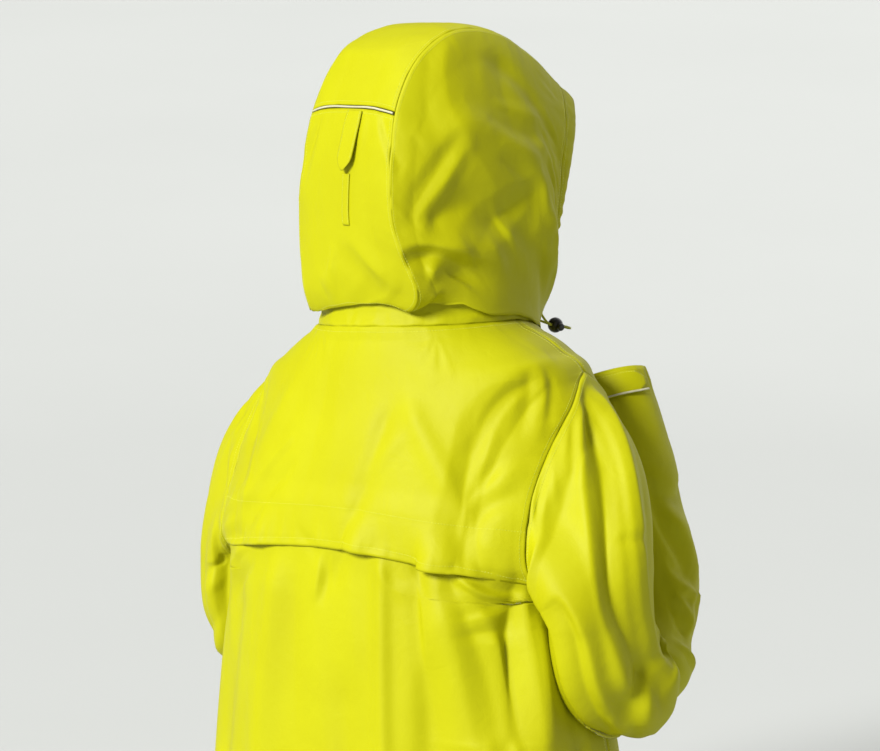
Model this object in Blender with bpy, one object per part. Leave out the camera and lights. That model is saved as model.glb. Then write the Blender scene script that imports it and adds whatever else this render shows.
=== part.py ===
"""A hooded rain jacket, held in the shape that it has when it is worn.

Metres, +Z up. The back faces +Y and the wearer's right is -X. The origin is at the middle of the neck,
level with the back neck seam. Angles round the body and the neck are in degrees from the middle of the
back, positive towards the wearer's right, so that 90 is the right side and 180 is the middle of the front.
"""

import math
from collections import namedtuple

import bpy
import numpy as np
from mathutils import Matrix, Vector

# Driving sizes
WALL = 0.002
SEAM_GAP = 0.0003
SIDE_SEAM = 96.0
UNDERARM = 4.0
SHOULDER_POINT = 7.0
NECK = 10.0
ARMHOLE_BACK = 30.0
ARMHOLE_FRONT = 28.0
ARMHOLE_FULL = 2.5
ARMHOLE_TOP = 0.9
ARMHOLE_FOOT = 16
RIGHT_SHOULDER_RISE = 0.012
SHOULDER_FORWARD = 0.016
SLOPE_START = 4.5
ARM_DENT = 0.030
ARM_DENT_ANGLE = 100.0
ARM_DENT_REACH = 24.0
ARM_DENT_LEVEL = 3.3

# The free flap of the yoke, in levels of the body
YOKE_SEAM = 5.0
FLAP_MIDDLE = 4.50
FLAP_END = 4.24
FLAP_CURVE = 0.8
FLAP_LIFT = WALL + 0.0012
FLAP_BULGE = 0.012
FLAP_TACK = 0.10
FLAP_END_TACK = 0.78

# The front zip
ZIP_GAP = 0.006
ZIP_TAPE_HALF = 0.015
ZIP_CHAIN_HALF = 0.0026
ZIP_TAPE_DROP = WALL + 0.0007
ZIP_TAPE_WALL = 0.0010
ZIP_END = 0.002

# Collar and hood
COLLAR_HEIGHT = 0.036
HOOD_SEAM_HEIGHT = 0.019
HOOD_STAND = WALL + 0.0008
COLLAR_LEAN = 0.10
HOOD_TURN_START = 0.012
HEAD_TURN = 12.0
HEAD_TURN_HEIGHT = 0.12
BAND_STEPS = 0.62
BAND_ROOM = 0.014
CROWN_STEP = 5.9
PIPING_RADIUS = 0.0016
NAPE_STEP = 10.0
SIDE_END = 0.25
FOOT_CROWDING = 1.6

# Mesh counts, and how much the armhole moves the columns next to it
EDGE_SHARE = 1.6
BACK_COLUMNS = 22
FRONT_COLUMNS = 9
TORSO_ROWS = 11
ARMHOLE_ROWS = 11
SHOULDER_ROWS = 4
CAP_ROWS = 8
ARM_ROWS = 14
CROWN_ROWS = 10
NAPE_ROWS = 8
SIDE_COLUMNS = 11
CENTRE_COLUMNS = 6

# Rings of the body. At each level: the height at the back, side and front, and the half sizes.
Ring = namedtuple("Ring", "level back_z side_z front_z half_width back_depth front_depth squareness")
BODY = (
    Ring(0.0, -0.740, -0.742, -0.740, 0.268, 0.182, 0.168, 2.3),
    Ring(1.0, -0.600, -0.600, -0.600, 0.260, 0.174, 0.162, 2.4),
    Ring(2.0, -0.470, -0.470, -0.470, 0.252, 0.168, 0.155, 2.4),
    Ring(3.0, -0.360, -0.360, -0.360, 0.240, 0.162, 0.150, 2.5),
    Ring(4.0, -0.285, -0.292, -0.290, 0.226, 0.157, 0.145, 2.6),
    Ring(5.0, -0.200, -0.212, -0.215, 0.214, 0.149, 0.143, 2.6),
    Ring(6.0, -0.125, -0.132, -0.155, 0.208, 0.136, 0.140, 2.5),
    Ring(7.0, -0.070, -0.060, -0.110, 0.203, 0.118, 0.138, 2.3),
    Ring(8.0, -0.038, -0.036, -0.080, 0.176, 0.109, 0.139, 2.3),
    Ring(9.0, -0.015, -0.016, -0.058, 0.146, 0.102, 0.141, 2.3),
    Ring(10.0, 0.000, -0.004, -0.040, 0.119, 0.096, 0.142, 2.3),
)

# Folds of the body: a ridge, or a trough where height is negative, from one place to another.
Fold = namedtuple("Fold", "angle z to_angle to_z width height")
BODY_FOLDS = (
    Fold(0, -0.27, 20, -0.11, 0.016, -0.004),
    Fold(-44, -0.09, -58, -0.24, 0.020, 0.005),
    Fold(-30, -0.30, -36, -0.74, 0.022, 0.008),
    Fold(-52, -0.33, -60, -0.70, 0.020, -0.008),
    Fold(22, -0.26, 25, -0.60, 0.012, 0.007),
    Fold(38, -0.26, 48, -0.76, 0.022, -0.014),
    Fold(60, -0.34, 66, -0.78, 0.024, 0.012),
    Fold(8, -0.42, 4, -0.78, 0.030, -0.006),
    Fold(56, -0.22, 34, -0.10, 0.015, 0.005),
    Fold(46, -0.28, 58, -0.16, 0.012, -0.004),
    Fold(120, -0.30, 128, -0.76, 0.024, 0.009),
    Fold(142, -0.36, 146, -0.78, 0.026, -0.008),
    Fold(-112, -0.34, -106, -0.78, 0.024, -0.008),
    Fold(-128, -0.30, -134, -0.76, 0.024, 0.009),
    Fold(-152, -0.34, -150, -0.78, 0.026, -0.007),
    Fold(150, -0.13, 128, -0.26, 0.020, 0.005),
    Fold(-150, -0.13, -128, -0.26, 0.020, 0.005),
)
FOLD_RADIUS = 0.20

# Sections of a sleeve from under the armhole to the cuff: thick is the half size in the plane in which
# the elbow bends, and wide is the half size across it.
Section = namedtuple("Section", "place x y z thick wide")
RIGHT_ARM = (
    Section(0.0, -0.262, 0.012, -0.300, 0.082, 0.058),
    Section(1.0, -0.262, 0.004, -0.350, 0.078, 0.062),
    Section(2.0, -0.260, -0.020, -0.388, 0.068, 0.064),
    Section(3.0, -0.254, -0.058, -0.397, 0.060, 0.063),
    Section(4.0, -0.244, -0.096, -0.378, 0.055, 0.060),
    Section(5.0, -0.230, -0.130, -0.340, 0.055, 0.060),
    Section(6.0, -0.214, -0.146, -0.275, 0.055, 0.058),
    Section(7.0, -0.194, -0.160, -0.205, 0.052, 0.055),
    Section(8.0, -0.168, -0.172, -0.135, 0.047, 0.051),
    Section(9.0, -0.143, -0.181, -0.074, 0.042, 0.047),
)
LEFT_ARM = (
    Section(0.0, 0.256, -0.016, -0.300, 0.072, 0.050),
    Section(1.0, 0.260, -0.022, -0.356, 0.070, 0.054),
    Section(2.0, 0.262, -0.044, -0.404, 0.064, 0.058),
    Section(3.0, 0.257, -0.084, -0.430, 0.058, 0.058),
    Section(4.0, 0.246, -0.130, -0.434, 0.054, 0.056),
    Section(5.0, 0.231, -0.174, -0.424, 0.051, 0.053),
    Section(6.0, 0.214, -0.214, -0.410, 0.048, 0.050),
    Section(7.0, 0.197, -0.252, -0.397, 0.045, 0.047),
    Section(8.0, 0.181, -0.287, -0.386, 0.042, 0.045),
    Section(9.0, 0.167, -0.318, -0.377, 0.040, 0.044),
)
ARM_FORWARD = 0.25
ARM_STEP = 0.05
TURN_STEP = 2.0
CAP_REACH_UNDER = 0.035
CAP_CURVE = 0.8
UNDERARM_Z = -0.276
UNDERARM_BLEND = 0.012
ARM_CLEAR = 0.006

# How the top of each sleeve leaves the shoulder: the pull of its curve, and how steeply it starts.
RIGHT_CAP = (0.30, 0.45)
LEFT_CAP = (0.24, 0.18)

# Folds of a sleeve, in rows from the armhole seam and degrees round it: 0 outwards, 90 to the back.
SLEEVE_ROW = 0.028
SLEEVE_RADIUS = 0.07
SleeveFold = namedtuple("SleeveFold", "row turn to_row to_turn width height")
RIGHT_FOLDS = (
    SleeveFold(0.9, 40, 8.0, 30, 0.020, 0.006),
    SleeveFold(1.8, 75, 10.0, 62, 0.018, -0.007),
    SleeveFold(1.8, 105, 9.0, 100, 0.020, 0.007),
    SleeveFold(10.0, 20, 11.5, 110, 0.016, -0.008),
    SleeveFold(12.5, -30, 13.5, 80, 0.015, -0.008),
    SleeveFold(15.0, -20, 15.5, 70, 0.014, -0.006),
    SleeveFold(17.0, 0, 16.0, 90, 0.014, 0.005),
)
LEFT_FOLDS = (
    SleeveFold(0.9, 40, 8.0, 30, 0.020, 0.006),
    SleeveFold(1.8, 80, 10.0, 70, 0.018, -0.006),
    SleeveFold(10.0, 10, 11.5, 100, 0.016, -0.007),
    SleeveFold(13.0, -30, 14.0, 80, 0.015, -0.007),
    SleeveFold(17.0, 0, 16.0, 90, 0.014, 0.005),
)

# Arches of the hood, from the face, step 0, back over the crown and down to the nape. Each runs from
# its foot on the collar up over its top. bow draws the sides back, and seam is where the centre meets
# the side panels, in degrees round the arch from the foot.
Arch = namedtuple("Arch", "step top_y top_z foot half_width bow seam")
HOOD = (
    Arch(0.0, -0.200, 0.258, 150.0, 0.101, 0.028, 68.0),
    Arch(1.0, -0.156, 0.284, 144.0, 0.110, 0.020, 69.0),
    Arch(2.0, -0.104, 0.312, 134.0, 0.118, 0.010, 70.0),
    Arch(3.0, -0.050, 0.334, 122.0, 0.122, 0.000, 70.0),
    Arch(4.0, 0.010, 0.334, 109.0, 0.122, 0.000, 69.0),
    Arch(5.0, 0.062, 0.306, 97.0, 0.118, 0.000, 67.0),
    Arch(6.0, 0.096, 0.250, 86.0, 0.112, 0.000, 63.0),
    Arch(7.0, 0.111, 0.190, 75.0, 0.105, 0.000, 55.0),
    Arch(8.0, 0.115, 0.130, 63.0, 0.097, 0.000, 44.0),
    Arch(9.0, 0.112, 0.070, 51.0, 0.088, 0.000, 30.0),
    Arch(10.0, 0.101, 0.020, 39.0, 0.074, 0.000, 0.0),
)
HOOD_ROUNDNESS = 3.0
HOOD_FOOT_FLARE = 0.25
HOOD_FOOT_TURN = 9.0
BOW_LOW = 0.7
NAPE_BLEND = 1.2
SEAM_RIDGE = 0.006
SEAM_RIDGE_WIDTH = 14.0
CHIN_KICK = 0.016
CHIN_KICK_HEIGHT = 0.13
CHIN_KICK_REACH = 0.14
CHIN_KICK_STEPS = 2.5
CHIN_KICK_FOOT = 0.05
GATHER_HEIGHT = 0.0026
GATHER_TOP = 0.17
GATHER_FOOT = 0.010
GATHER_FADE = 0.04

# Hood folds, in steps and degrees round the arch.
HOOD_STEP = 0.045
HOOD_RADIUS = 0.17
HoodFold = namedtuple("HoodFold", "step turn to_step to_turn width height")
HOOD_FOLDS = (
    HoodFold(1.2, 12, 4.6, 34, 0.016, 0.006),
    HoodFold(2.4, 4, 6.4, 22, 0.014, -0.006),
    HoodFold(1.0, 34, 3.0, 52, 0.014, -0.004),
    HoodFold(5.0, 6, 8.0, 16, 0.012, 0.006),
    HoodFold(1.2, 168, 4.6, 146, 0.016, 0.006),
    HoodFold(2.4, 176, 6.4, 158, 0.014, -0.006),
    HoodFold(5.0, 174, 8.0, 164, 0.012, 0.006),
)

# Trims
PIPING_ROOM = 0.034
PIPING_PROUD = 0.0006
PIPING_SET_IN = 1.2
TAB_START = 0.075
TAB_STEPS = 1.10
TAB_HALF = 0.012
TAB_MIDDLE_X = -0.010
TAB_WALL = 0.0016
TAB_LIFT = 0.0006
TAB_STAND = 0.007
TAB_CURL = 1.5
TAPE_TOP_STEP = 7.30
TAPE_END_STEP = 8.25
TAPE_HALF = 0.0055
TAPE_WALL = 0.0010
CUFF_TAB_START = -118.0
CUFF_TAB_END = -22.0
CUFF_TAB_HALF = 0.0145
CUFF_TAB_MIDDLE = 0.0205
CUFF_TAB_LIFT = 0.0009
CUFF_TAB_STAND = 0.0030
CUFF_TRIM = 0.16
CUFF_TRIM_INSET = 0.04
CUFF_TRIM_WALL = 0.0008
CUFF_TRIM_LIFT = 0.0007
# The edges of the tab at even steps round the cuff, in halves of its width. The reflective edge's sizes
# are in the same halves.
TAB_LOW_EDGE = (-1.0, -1.0, -1.0, -1.0, -1.0, -1.0, -0.92, -0.30)
TAB_HIGH_EDGE = (1.0, 1.0, 1.0, 1.0, 1.0, 1.0, 0.92, 0.30)

# The zip's slider and pull tab
SLIDER_HEIGHT = 0.026
SLIDER_PROUD = 0.0018
SLIDER_THICK = 0.0036
SLIDER_HALF = 0.0050
SLIDER_LONG = 0.0065
BRIDGE_SIDE = 0.0010
BRIDGE_BAR = 0.0012
BRIDGE_HALF = 0.0046
BRIDGE_ROOM = 0.0026
BRIDGE_FOOT = 0.0010
PULL_AXIS = 0.0014
PULL_THICK = 0.0013
PULL_HALF = 0.0035
PULL_LONG = 0.0200
PULL_HOLE = 0.0015
PULL_HOLE_LOW = 0.0056

# The drawcord and its ball lock. The two strands go through the lock side by side along its button's axis.
CORD_DIAMETER = 0.003
STRAND_APART = 0.0036
LOCK_RADIUS = 0.009
LOCK_SLOT = 0.0039
LOCK_SLOT_HALF = 0.00375
BUTTON_RADIUS = 0.0044
BUTTON_CLEARANCE = 0.0003
BUTTON_STROKE = 0.0025
BUTTON_HEAD = 0.0036
BUTTON_HOLE_LOW = -0.0036
BUTTON_HOLE_HIGH = 0.0064
BUTTON_FLOOR = 0.0012
LOCK_SEGMENTS = 18
BORE_SEGMENTS = 20
LOCK_RINGS = 10
CORD_EXIT_STEP = 0.31
CORD_EXIT_GAP = 0.0010
CORD_LOOP = 0.014
CORD_LOOP_SHOULDER = 0.8
CORD_LOOP_HALF = 0.0040
CORD_SPACING = 1.5 * CORD_DIAMETER

# For each side: the lock's middle, the way its cord goes through it, the way its button points, and the
# turns round the hood's arch at which the two strands leave the casing.
Lock = namedtuple("Lock", "side middle along button exits")
LOCKS = (
    Lock("right", (-0.0842, -0.1600, -0.0143), (-0.26, -0.94, -0.21), (-0.945, 0.280, -0.169), (1.6, 0.35)),
    Lock("left", (0.0800, -0.1560, -0.0440), (0.05, -0.30, -1.00), (0.945, -0.280, 0.100), (178.4, 179.65)),
)


def ease(value):
    """0 below 0, 1 above 1 and a smooth step between."""
    value = np.clip(value, 0.0, 1.0)
    return value * value * (3.0 - 2.0 * value)


def read(table, column, at):
    """A column of a table at places between its rows, along a smooth curve."""
    places = np.array([row[0] for row in table])
    values = np.array([getattr(row, column) for row in table])
    slopes = np.gradient(values, places)
    at = np.clip(at, places[0], places[-1])
    row = np.clip(np.searchsorted(places, at, side="right") - 1, 0, len(places) - 2)
    span = places[row + 1] - places[row]
    t = (at - places[row]) / span
    start = values[row] * (1 + 2 * t) * (1 - t) ** 2 + slopes[row] * span * t * (1 - t) ** 2
    end = values[row + 1] * t * t * (3 - 2 * t) + slopes[row + 1] * span * t * t * (t - 1)
    return start + end


def unit(vectors):
    return vectors / np.linalg.norm(vectors, axis=-1, keepdims=True)


def bump(across, width):
    return np.exp(-((across / width) ** 2))


def segment_bump(u, v, start, end, width):
    """How strongly a fold from start to end, in metres on the laid-out cloth, shows at u, v."""
    run = np.array(end) - np.array(start)
    length = np.hypot(*run)
    along = ((u - start[0]) * run[0] + (v - start[1]) * run[1]) / length
    across = ((u - start[0]) * run[1] - (v - start[1]) * run[0]) / length
    past = np.maximum(np.maximum(-along, along - length), 0.0)
    return bump(across, width) * bump(past, 1.6 * width)


# --- The body


def ring_radius(level, angle):
    a = np.radians(angle)
    side = np.abs(np.sin(a))
    along = np.cos(a)
    power = read(BODY, "squareness", level)
    depth = np.where(along > 0, read(BODY, "back_depth", level), read(BODY, "front_depth", level))
    across = side / read(BODY, "half_width", level)
    radius = (across**power + (np.abs(along) / depth) ** power) ** (-1 / power)
    dent = bump(np.abs(angle) - ARM_DENT_ANGLE, ARM_DENT_REACH) * bump(level - ARM_DENT_LEVEL, 1.0)
    return radius - ARM_DENT * dent


def body_point(level, angle):
    """A point of the outer face of the jacket's body."""
    level, angle = np.broadcast_arrays(np.asarray(level, float), np.asarray(angle, float))
    a = np.radians(angle)
    share = np.cos(a) ** 2
    side_z = read(BODY, "side_z", level)
    end_z = np.where(np.cos(a) > 0, read(BODY, "back_z", level), read(BODY, "front_z", level))
    z = side_z + (end_z - side_z) * share
    radius = ring_radius(level, angle)
    u = a * FOLD_RADIUS
    for fold in BODY_FOLDS:
        start = (math.radians(fold.angle) * FOLD_RADIUS, fold.z)
        end = (math.radians(fold.to_angle) * FOLD_RADIUS, fold.to_z)
        radius = radius + fold.height * segment_bump(u, z, start, end, fold.width)
    x = -radius * np.sin(a)
    y = radius * np.cos(a)
    high = ease((level - SLOPE_START) / (SHOULDER_POINT - SLOPE_START))
    z = z - RIGHT_SHOULDER_RISE * (x / read(BODY, "half_width", SHOULDER_POINT)) * high
    y = y - SHOULDER_FORWARD * high * ease(np.abs(x) / read(BODY, "half_width", SHOULDER_POINT))
    return np.stack((x, y, z), axis=-1)


def surface_normals(surface, u, v, du, dv):
    """Unit normals of a surface function from points a short way to either side."""
    along = surface(u + du, v) - surface(u - du, v)
    across = surface(u, v + dv) - surface(u, v - dv)
    return unit(np.cross(along, across))


def body_normal(level, angle):
    """The direction straight out of the jacket's body."""
    level, angle = np.broadcast_arrays(np.asarray(level, float), np.asarray(angle, float))
    level = np.clip(level, 0.02, NECK - 0.02)
    return -surface_normals(body_point, level, angle, 0.02, 0.5)


def armhole_edge(level, reach):
    """How far the armhole reaches from the side seam, in degrees, at a level."""
    t = np.clip((level - UNDERARM) / (SHOULDER_POINT - UNDERARM), 0.0, 1.0)
    return reach * (1 - t**ARMHOLE_FULL) ** ARMHOLE_TOP * (1 - (1 - t) ** ARMHOLE_FOOT) ** 0.5


def back_edge(level):
    return SIDE_SEAM - armhole_edge(level, ARMHOLE_BACK)


def front_edge(level):
    return SIDE_SEAM + armhole_edge(level, ARMHOLE_FRONT)


def zip_edge(level, half):
    """The angle, from the middle of the back, of a line a set way to the side of the front's middle."""
    return 180.0 - np.degrees(np.arcsin(half / read(BODY, "front_depth", level)))


def armhole_levels():
    """Rows up the armhole, closer together towards both its ends."""
    steps = np.arange(ARMHOLE_ROWS + 1) / ARMHOLE_ROWS
    return UNDERARM + (SHOULDER_POINT - UNDERARM) * (steps / 2 + (1 - np.cos(math.pi * steps)) / 4)


def back_angles(levels, across):
    """Columns of the back, from -1 at its left edge to 1 at its right one. The armhole moves the ones
    near it more than the ones in the middle."""
    moved = (SIDE_SEAM - back_edge(levels)) * np.abs(across) ** EDGE_SHARE
    return across * SIDE_SEAM - np.sign(across) * moved


def front_angles(levels, share, edge_half):
    """Columns of a front, from 0 at its armhole to 1 at edge_half metres from the middle."""
    last = zip_edge(levels, edge_half)
    moved = (front_edge(levels) - SIDE_SEAM) * (1 - share) ** EDGE_SHARE
    return SIDE_SEAM + (last - SIDE_SEAM) * share + moved


def body_levels():
    torso = np.linspace(0.0, UNDERARM, TORSO_ROWS + 1)
    shoulder = np.linspace(SHOULDER_POINT, NECK, SHOULDER_ROWS + 1)
    return np.concatenate((torso, armhole_levels()[1:], shoulder[1:]))


# --- Walls


def pull_edges_in(points, gap, edges):
    """Moves the named edges of a grid inwards along its rows or columns by half of a seam's gap."""
    points = points.copy()
    moves = {
        "first_row": (np.s_[0], np.s_[1]),
        "last_row": (np.s_[-1], np.s_[-2]),
        "first_column": (np.s_[:, 0], np.s_[:, 1]),
        "last_column": (np.s_[:, -1], np.s_[:, -2]),
    }
    for edge in edges:
        at, inside = moves[edge]
        points[at] += unit(points[inside] - points[at]) * gap / 2
    return points


ALL_EDGES = ("first_row", "last_row", "first_column", "last_column")


def grid_mesh(name, outer, inner, closed_round=False):
    """A closed wall between two grids of points, joined along every open edge."""
    rows, columns = outer.shape[:2]
    points = np.concatenate((outer.reshape(-1, 3), inner.reshape(-1, 3)))
    index = np.arange(rows * columns).reshape(rows, columns)
    if closed_round:
        index = np.concatenate((index, index[:, :1]), axis=1)
    corners = (index[:-1, :-1], index[:-1, 1:], index[1:, 1:], index[1:, :-1])
    halves = ((0, 1, 2), (0, 2, 3))
    triangles = [np.stack([corners[k] for k in half], axis=-1).reshape(-1, 3) for half in halves]
    triangles = np.concatenate(triangles)
    far = rows * columns
    faces = [tuple(face) for face in triangles] + [tuple(far + face[::-1]) for face in triangles]
    borders = [index[0, ::-1], index[-1]]
    if not closed_round:
        borders += [index[:, 0], index[::-1, -1]]
    for border in borders:
        faces += [(a, b, far + b, far + a) for a, b in zip(border[:-1], border[1:])]
    mesh = bpy.data.meshes.new(name)
    mesh.from_pydata([tuple(map(float, p)) for p in points], [], [tuple(map(int, f)) for f in faces])
    mesh.validate()
    return mesh


def signed_volume(mesh):
    mesh.calc_loop_triangles()
    corners = np.array([[mesh.vertices[v].co[:] for v in tri.vertices] for tri in mesh.loop_triangles])
    return np.linalg.det(corners).sum()


def add_object(name, mesh, material):
    if signed_volume(mesh) < 0:
        mesh.flip_normals()
    mesh.shade_smooth()
    mesh.set_sharp_from_angle(angle=math.radians(50))
    mesh.materials.append(material)
    made = bpy.data.objects.new(name, mesh)
    JACKET.objects.link(made)
    return made


def cloth(name, outer, normals, material, wall=WALL, edges=ALL_EDGES, closed_round=False):
    """A piece of cloth: the outer points, and the same points moved in by the wall."""
    inner = outer - normals * wall
    outer = pull_edges_in(outer, SEAM_GAP, edges)
    inner = pull_edges_in(inner, SEAM_GAP, edges)
    return add_object(name, grid_mesh(name, outer, inner, closed_round), material)


# --- Body panels


def back_levels():
    """The rows of the lower back: up to the first one that the yoke covers above its seam."""
    levels = body_levels()
    return levels[: np.searchsorted(levels, YOKE_SEAM) + 1]


def back_panel(material):
    levels = back_levels()[:, None]
    angles = back_angles(levels, np.linspace(-1, 1, BACK_COLUMNS + 1)[None, :])
    cloth("back_panel", body_point(levels, angles), body_normal(levels, angles), material)


def flap_edge(across):
    """The level of the flap's free edge, from -1 at the left armhole to 1 at the right one."""
    return FLAP_END + (FLAP_MIDDLE - FLAP_END) * np.cos(across * math.pi / 2) ** FLAP_CURVE


def flap_lift(levels, across):
    """How far the yoke lies out from the body: against it at the seam, and bulging at the free edge."""
    hang = ease((YOKE_SEAM - levels) / (YOKE_SEAM - flap_edge(across)))
    tack = bump(across, FLAP_TACK)
    ends = 1 - ease((np.abs(across) - FLAP_END_TACK) / (1 - FLAP_END_TACK))
    laid = levels <= back_levels()[-1]
    return FLAP_LIFT * laid + FLAP_BULGE * hang * (1 - tack) * ends


def back_yoke(material):
    """The yoke on the rows and columns of the lower back, and on up to the neck. Its lowest row is the
    flap's free edge, which runs between two rows of the lower back."""
    rows = body_levels()
    rows = rows[np.searchsorted(rows, FLAP_MIDDLE) - 1 :][:, None]
    across = np.linspace(-1, 1, BACK_COLUMNS + 1)[None, :]
    angles = back_angles(rows, across)
    points = body_point(rows, angles)
    normals = body_normal(rows, angles)
    free_edge = flap_edge(across)[0]
    share = ((free_edge - rows[0]) / (rows[1] - rows[0]))[:, None]
    points[0] += (points[1] - points[0]) * share
    normals[0] = unit(normals[0] + (normals[1] - normals[0]) * share)
    levels = rows + 0 * across
    levels[0] = free_edge
    outer = points + normals * flap_lift(levels, across)[..., None]
    cloth("back_yoke", outer, normals, material)


def front_panel(name, side, material):
    """side is 1 for the right front and -1 for the left one."""
    levels = body_levels()[:, None]
    share = np.linspace(0, 1, FRONT_COLUMNS + 1)[None, :]
    angles = side * front_angles(levels, share, ZIP_GAP)
    cloth(name, body_point(levels, angles), body_normal(levels, angles), material)


# --- Sleeves


def armhole_loop(side):
    """Levels and angles of the armhole seam, from the shoulder down the back and up the front."""
    down = armhole_levels()[::-1]
    up = armhole_levels()[1:-1]
    levels = np.concatenate((down, up))
    angles = np.concatenate((back_edge(down), front_edge(up)))
    return levels, side * angles


def loop_turns(points):
    """Degrees round the sleeve for each point of the armhole: 0 at the shoulder and 180 at the underarm."""
    sides = np.linalg.norm(np.roll(points, -1, axis=0) - points, axis=1)
    back = np.concatenate(([0.0], np.cumsum(sides[:ARMHOLE_ROWS])))
    front = np.concatenate(([0.0], np.cumsum(sides[ARMHOLE_ROWS:])))
    turns = np.concatenate((180 * back / back[-1], (180 + 180 * front / front[-1])[1:-1]))
    return turns


def arm_frame(table, place, side):
    """The middle of a sleeve's section, the way along it, to its outer side and to the bend's outer side."""
    middle = np.stack([read(table, axis, place) for axis in "xyz"], axis=-1)
    ahead = np.stack([read(table, axis, place + ARM_STEP) for axis in "xyz"], axis=-1)
    behind = np.stack([read(table, axis, place - ARM_STEP) for axis in "xyz"], axis=-1)
    along = unit(ahead - behind)
    outwards = unit(np.array((-side, -ARM_FORWARD, 0.0)))
    bend = unit(np.cross(along, outwards)) * side
    return middle, along, unit(np.cross(bend, along)) * side, bend


def arm_point(table, place, turn, side):
    middle, _, outwards, bend = arm_frame(table, place, side)
    a = np.radians(turn)
    thick = read(table, "thick", place)
    wide = read(table, "wide", place)
    return middle + outwards * (wide * np.cos(a))[..., None] + bend * (thick * np.sin(a))[..., None]


def clear_of_body(points):
    """Points of a sleeve that would lie in the body, moved out against it."""
    heights = [row.side_z for row in BODY[:8]]
    level = np.interp(points[..., 2], heights, [row.level for row in BODY[:8]])
    angle = np.degrees(np.arctan2(-points[..., 0], points[..., 1]))
    shell = body_point(level, angle)
    least = np.hypot(shell[..., 0], shell[..., 1]) + ARM_CLEAR
    radius = np.hypot(points[..., 0], points[..., 1])
    below = ease((UNDERARM_Z - points[..., 2]) / UNDERARM_BLEND)
    push = np.maximum(least - radius, 0) * below / radius
    return points + points * np.stack((push, push, 0 * push), axis=-1)


def sleeve_shape(table, side, rows, columns, seam, turns):
    """The smooth outer face of a sleeve: curves from the armhole seam to the first section, then the arm."""
    turn = turns[columns]
    under = (1 - np.cos(np.radians(turn))) / 2
    pull, slope = RIGHT_CAP if side > 0 else LEFT_CAP
    length = (pull + (CAP_REACH_UNDER - pull) * under**CAP_CURVE)[..., None]
    out_way = unit(np.array((-side, 0.0, -slope)))
    place = np.maximum(rows - CAP_ROWS, 0) * table[-1].place / ARM_ROWS
    _, along, _, _ = arm_frame(table, 0 * place, side)
    t = np.clip(rows / CAP_ROWS, 0, 1)[..., None]
    first = arm_point(table, 0 * place, turn, side)
    start = seam[columns] * (1 + 2 * t) * (1 - t) ** 2 + out_way * length * t * (1 - t) ** 2
    end = first * t * t * (3 - 2 * t) + along * length * t * t * (t - 1)
    return np.where(t < 1, start + end, arm_point(table, place, turn, side))


def sleeve_fold_height(folds, rows, turns):
    """The height of a sleeve's folds at each row and turn, laid out on a cylinder."""
    turned = np.radians((turns + 180) % 360 - 180) * SLEEVE_RADIUS
    height = 0 * (rows + turned)
    for fold in folds:
        start = (fold.row * SLEEVE_ROW, math.radians(fold.turn) * SLEEVE_RADIUS)
        end = (fold.to_row * SLEEVE_ROW, math.radians(fold.to_turn) * SLEEVE_RADIUS)
        height = height + fold.height * segment_bump(rows * SLEEVE_ROW, turned, start, end, fold.width)
    return height * ease((rows - 0.5) / 2.0)


def sleeve_grid(table, side):
    levels, angles = armhole_loop(side)
    seam = body_point(levels, angles)
    turns = loop_turns(seam)
    rows = np.arange(CAP_ROWS + ARM_ROWS + 1.0)[:, None]
    rows, columns = np.broadcast_arrays(rows, np.arange(len(turns))[None, :])
    sewn = (rows == 0)[..., None]
    points = sleeve_shape(table, side, rows, columns, seam, turns)
    points = np.where(sewn, points, clear_of_body(points))
    around = np.roll(points, -1, axis=1) - np.roll(points, 1, axis=1)
    along = np.gradient(points, axis=0)
    share = ease(rows / 3.0)[..., None]
    normals = unit(np.cross(around, along)) * side
    normals = unit(normals * share + body_normal(levels, angles)[None] * (1 - share))
    folds = RIGHT_FOLDS if side > 0 else LEFT_FOLDS
    folded = points + normals * sleeve_fold_height(folds, rows, turns[None, :])[..., None]
    return np.where(sewn, folded, clear_of_body(folded)), normals


def sleeve(name, table, side, material):
    outer, normals = sleeve_grid(table, side)
    cloth(name, outer, normals, material, edges=("first_row",), closed_round=True)


# --- Collar and hood


def collar_point(height, angle):
    """The outer face of the collar, height metres up from the neck seam."""
    angle = np.asarray(angle, float)
    ring = body_point(NECK, angle)
    inwards = unit(ring * np.array((1.0, 1.0, 0.0)))
    height = np.asarray(height, float)
    return ring - inwards * (COLLAR_LEAN * height)[..., None] + np.array((0.0, 0.0, 1.0)) * height[..., None]


def neck_angles():
    """The angles of the neck seam's points, from the left of the zip round the back to its right."""
    back = np.linspace(-1, 1, BACK_COLUMNS + 1) * SIDE_SEAM
    share = np.linspace(0, 1, FRONT_COLUMNS + 1)
    end = float(zip_edge(NECK, ZIP_GAP))
    front = SIDE_SEAM + (end - SIDE_SEAM) * share[1:]
    return np.concatenate((-front[::-1], back, front))


def collar(material):
    angles = neck_angles()[None, :]
    heights = np.linspace(0, COLLAR_HEIGHT, 3)[:, None]
    outer = collar_point(heights, angles)
    level_out = unit(outer * np.array((1.0, 1.0, 0.0)) + np.array((0.0, 1e-6, 0.0)))
    share = ease(heights / heights[1])[..., None]
    normals = unit(level_out * share + body_normal(NECK, angles) * (1 - share))
    cloth("collar", outer, normals, material)


def hood_foot(step, sign):
    """The hood's lower edge, which stands round the collar. sign is 1 on the right and -1 on the left."""
    angle = sign * read(HOOD, "foot", step) - HOOD_FOOT_TURN * ease(step / NAPE_STEP)
    return ring_round_collar(angle)


def ring_round_collar(angle):
    point = collar_point(np.zeros_like(angle) + HOOD_SEAM_HEIGHT, angle)
    outwards = unit(point * np.array((1.0, 1.0, 0.0)))
    return point + outwards * HOOD_STAND


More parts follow.
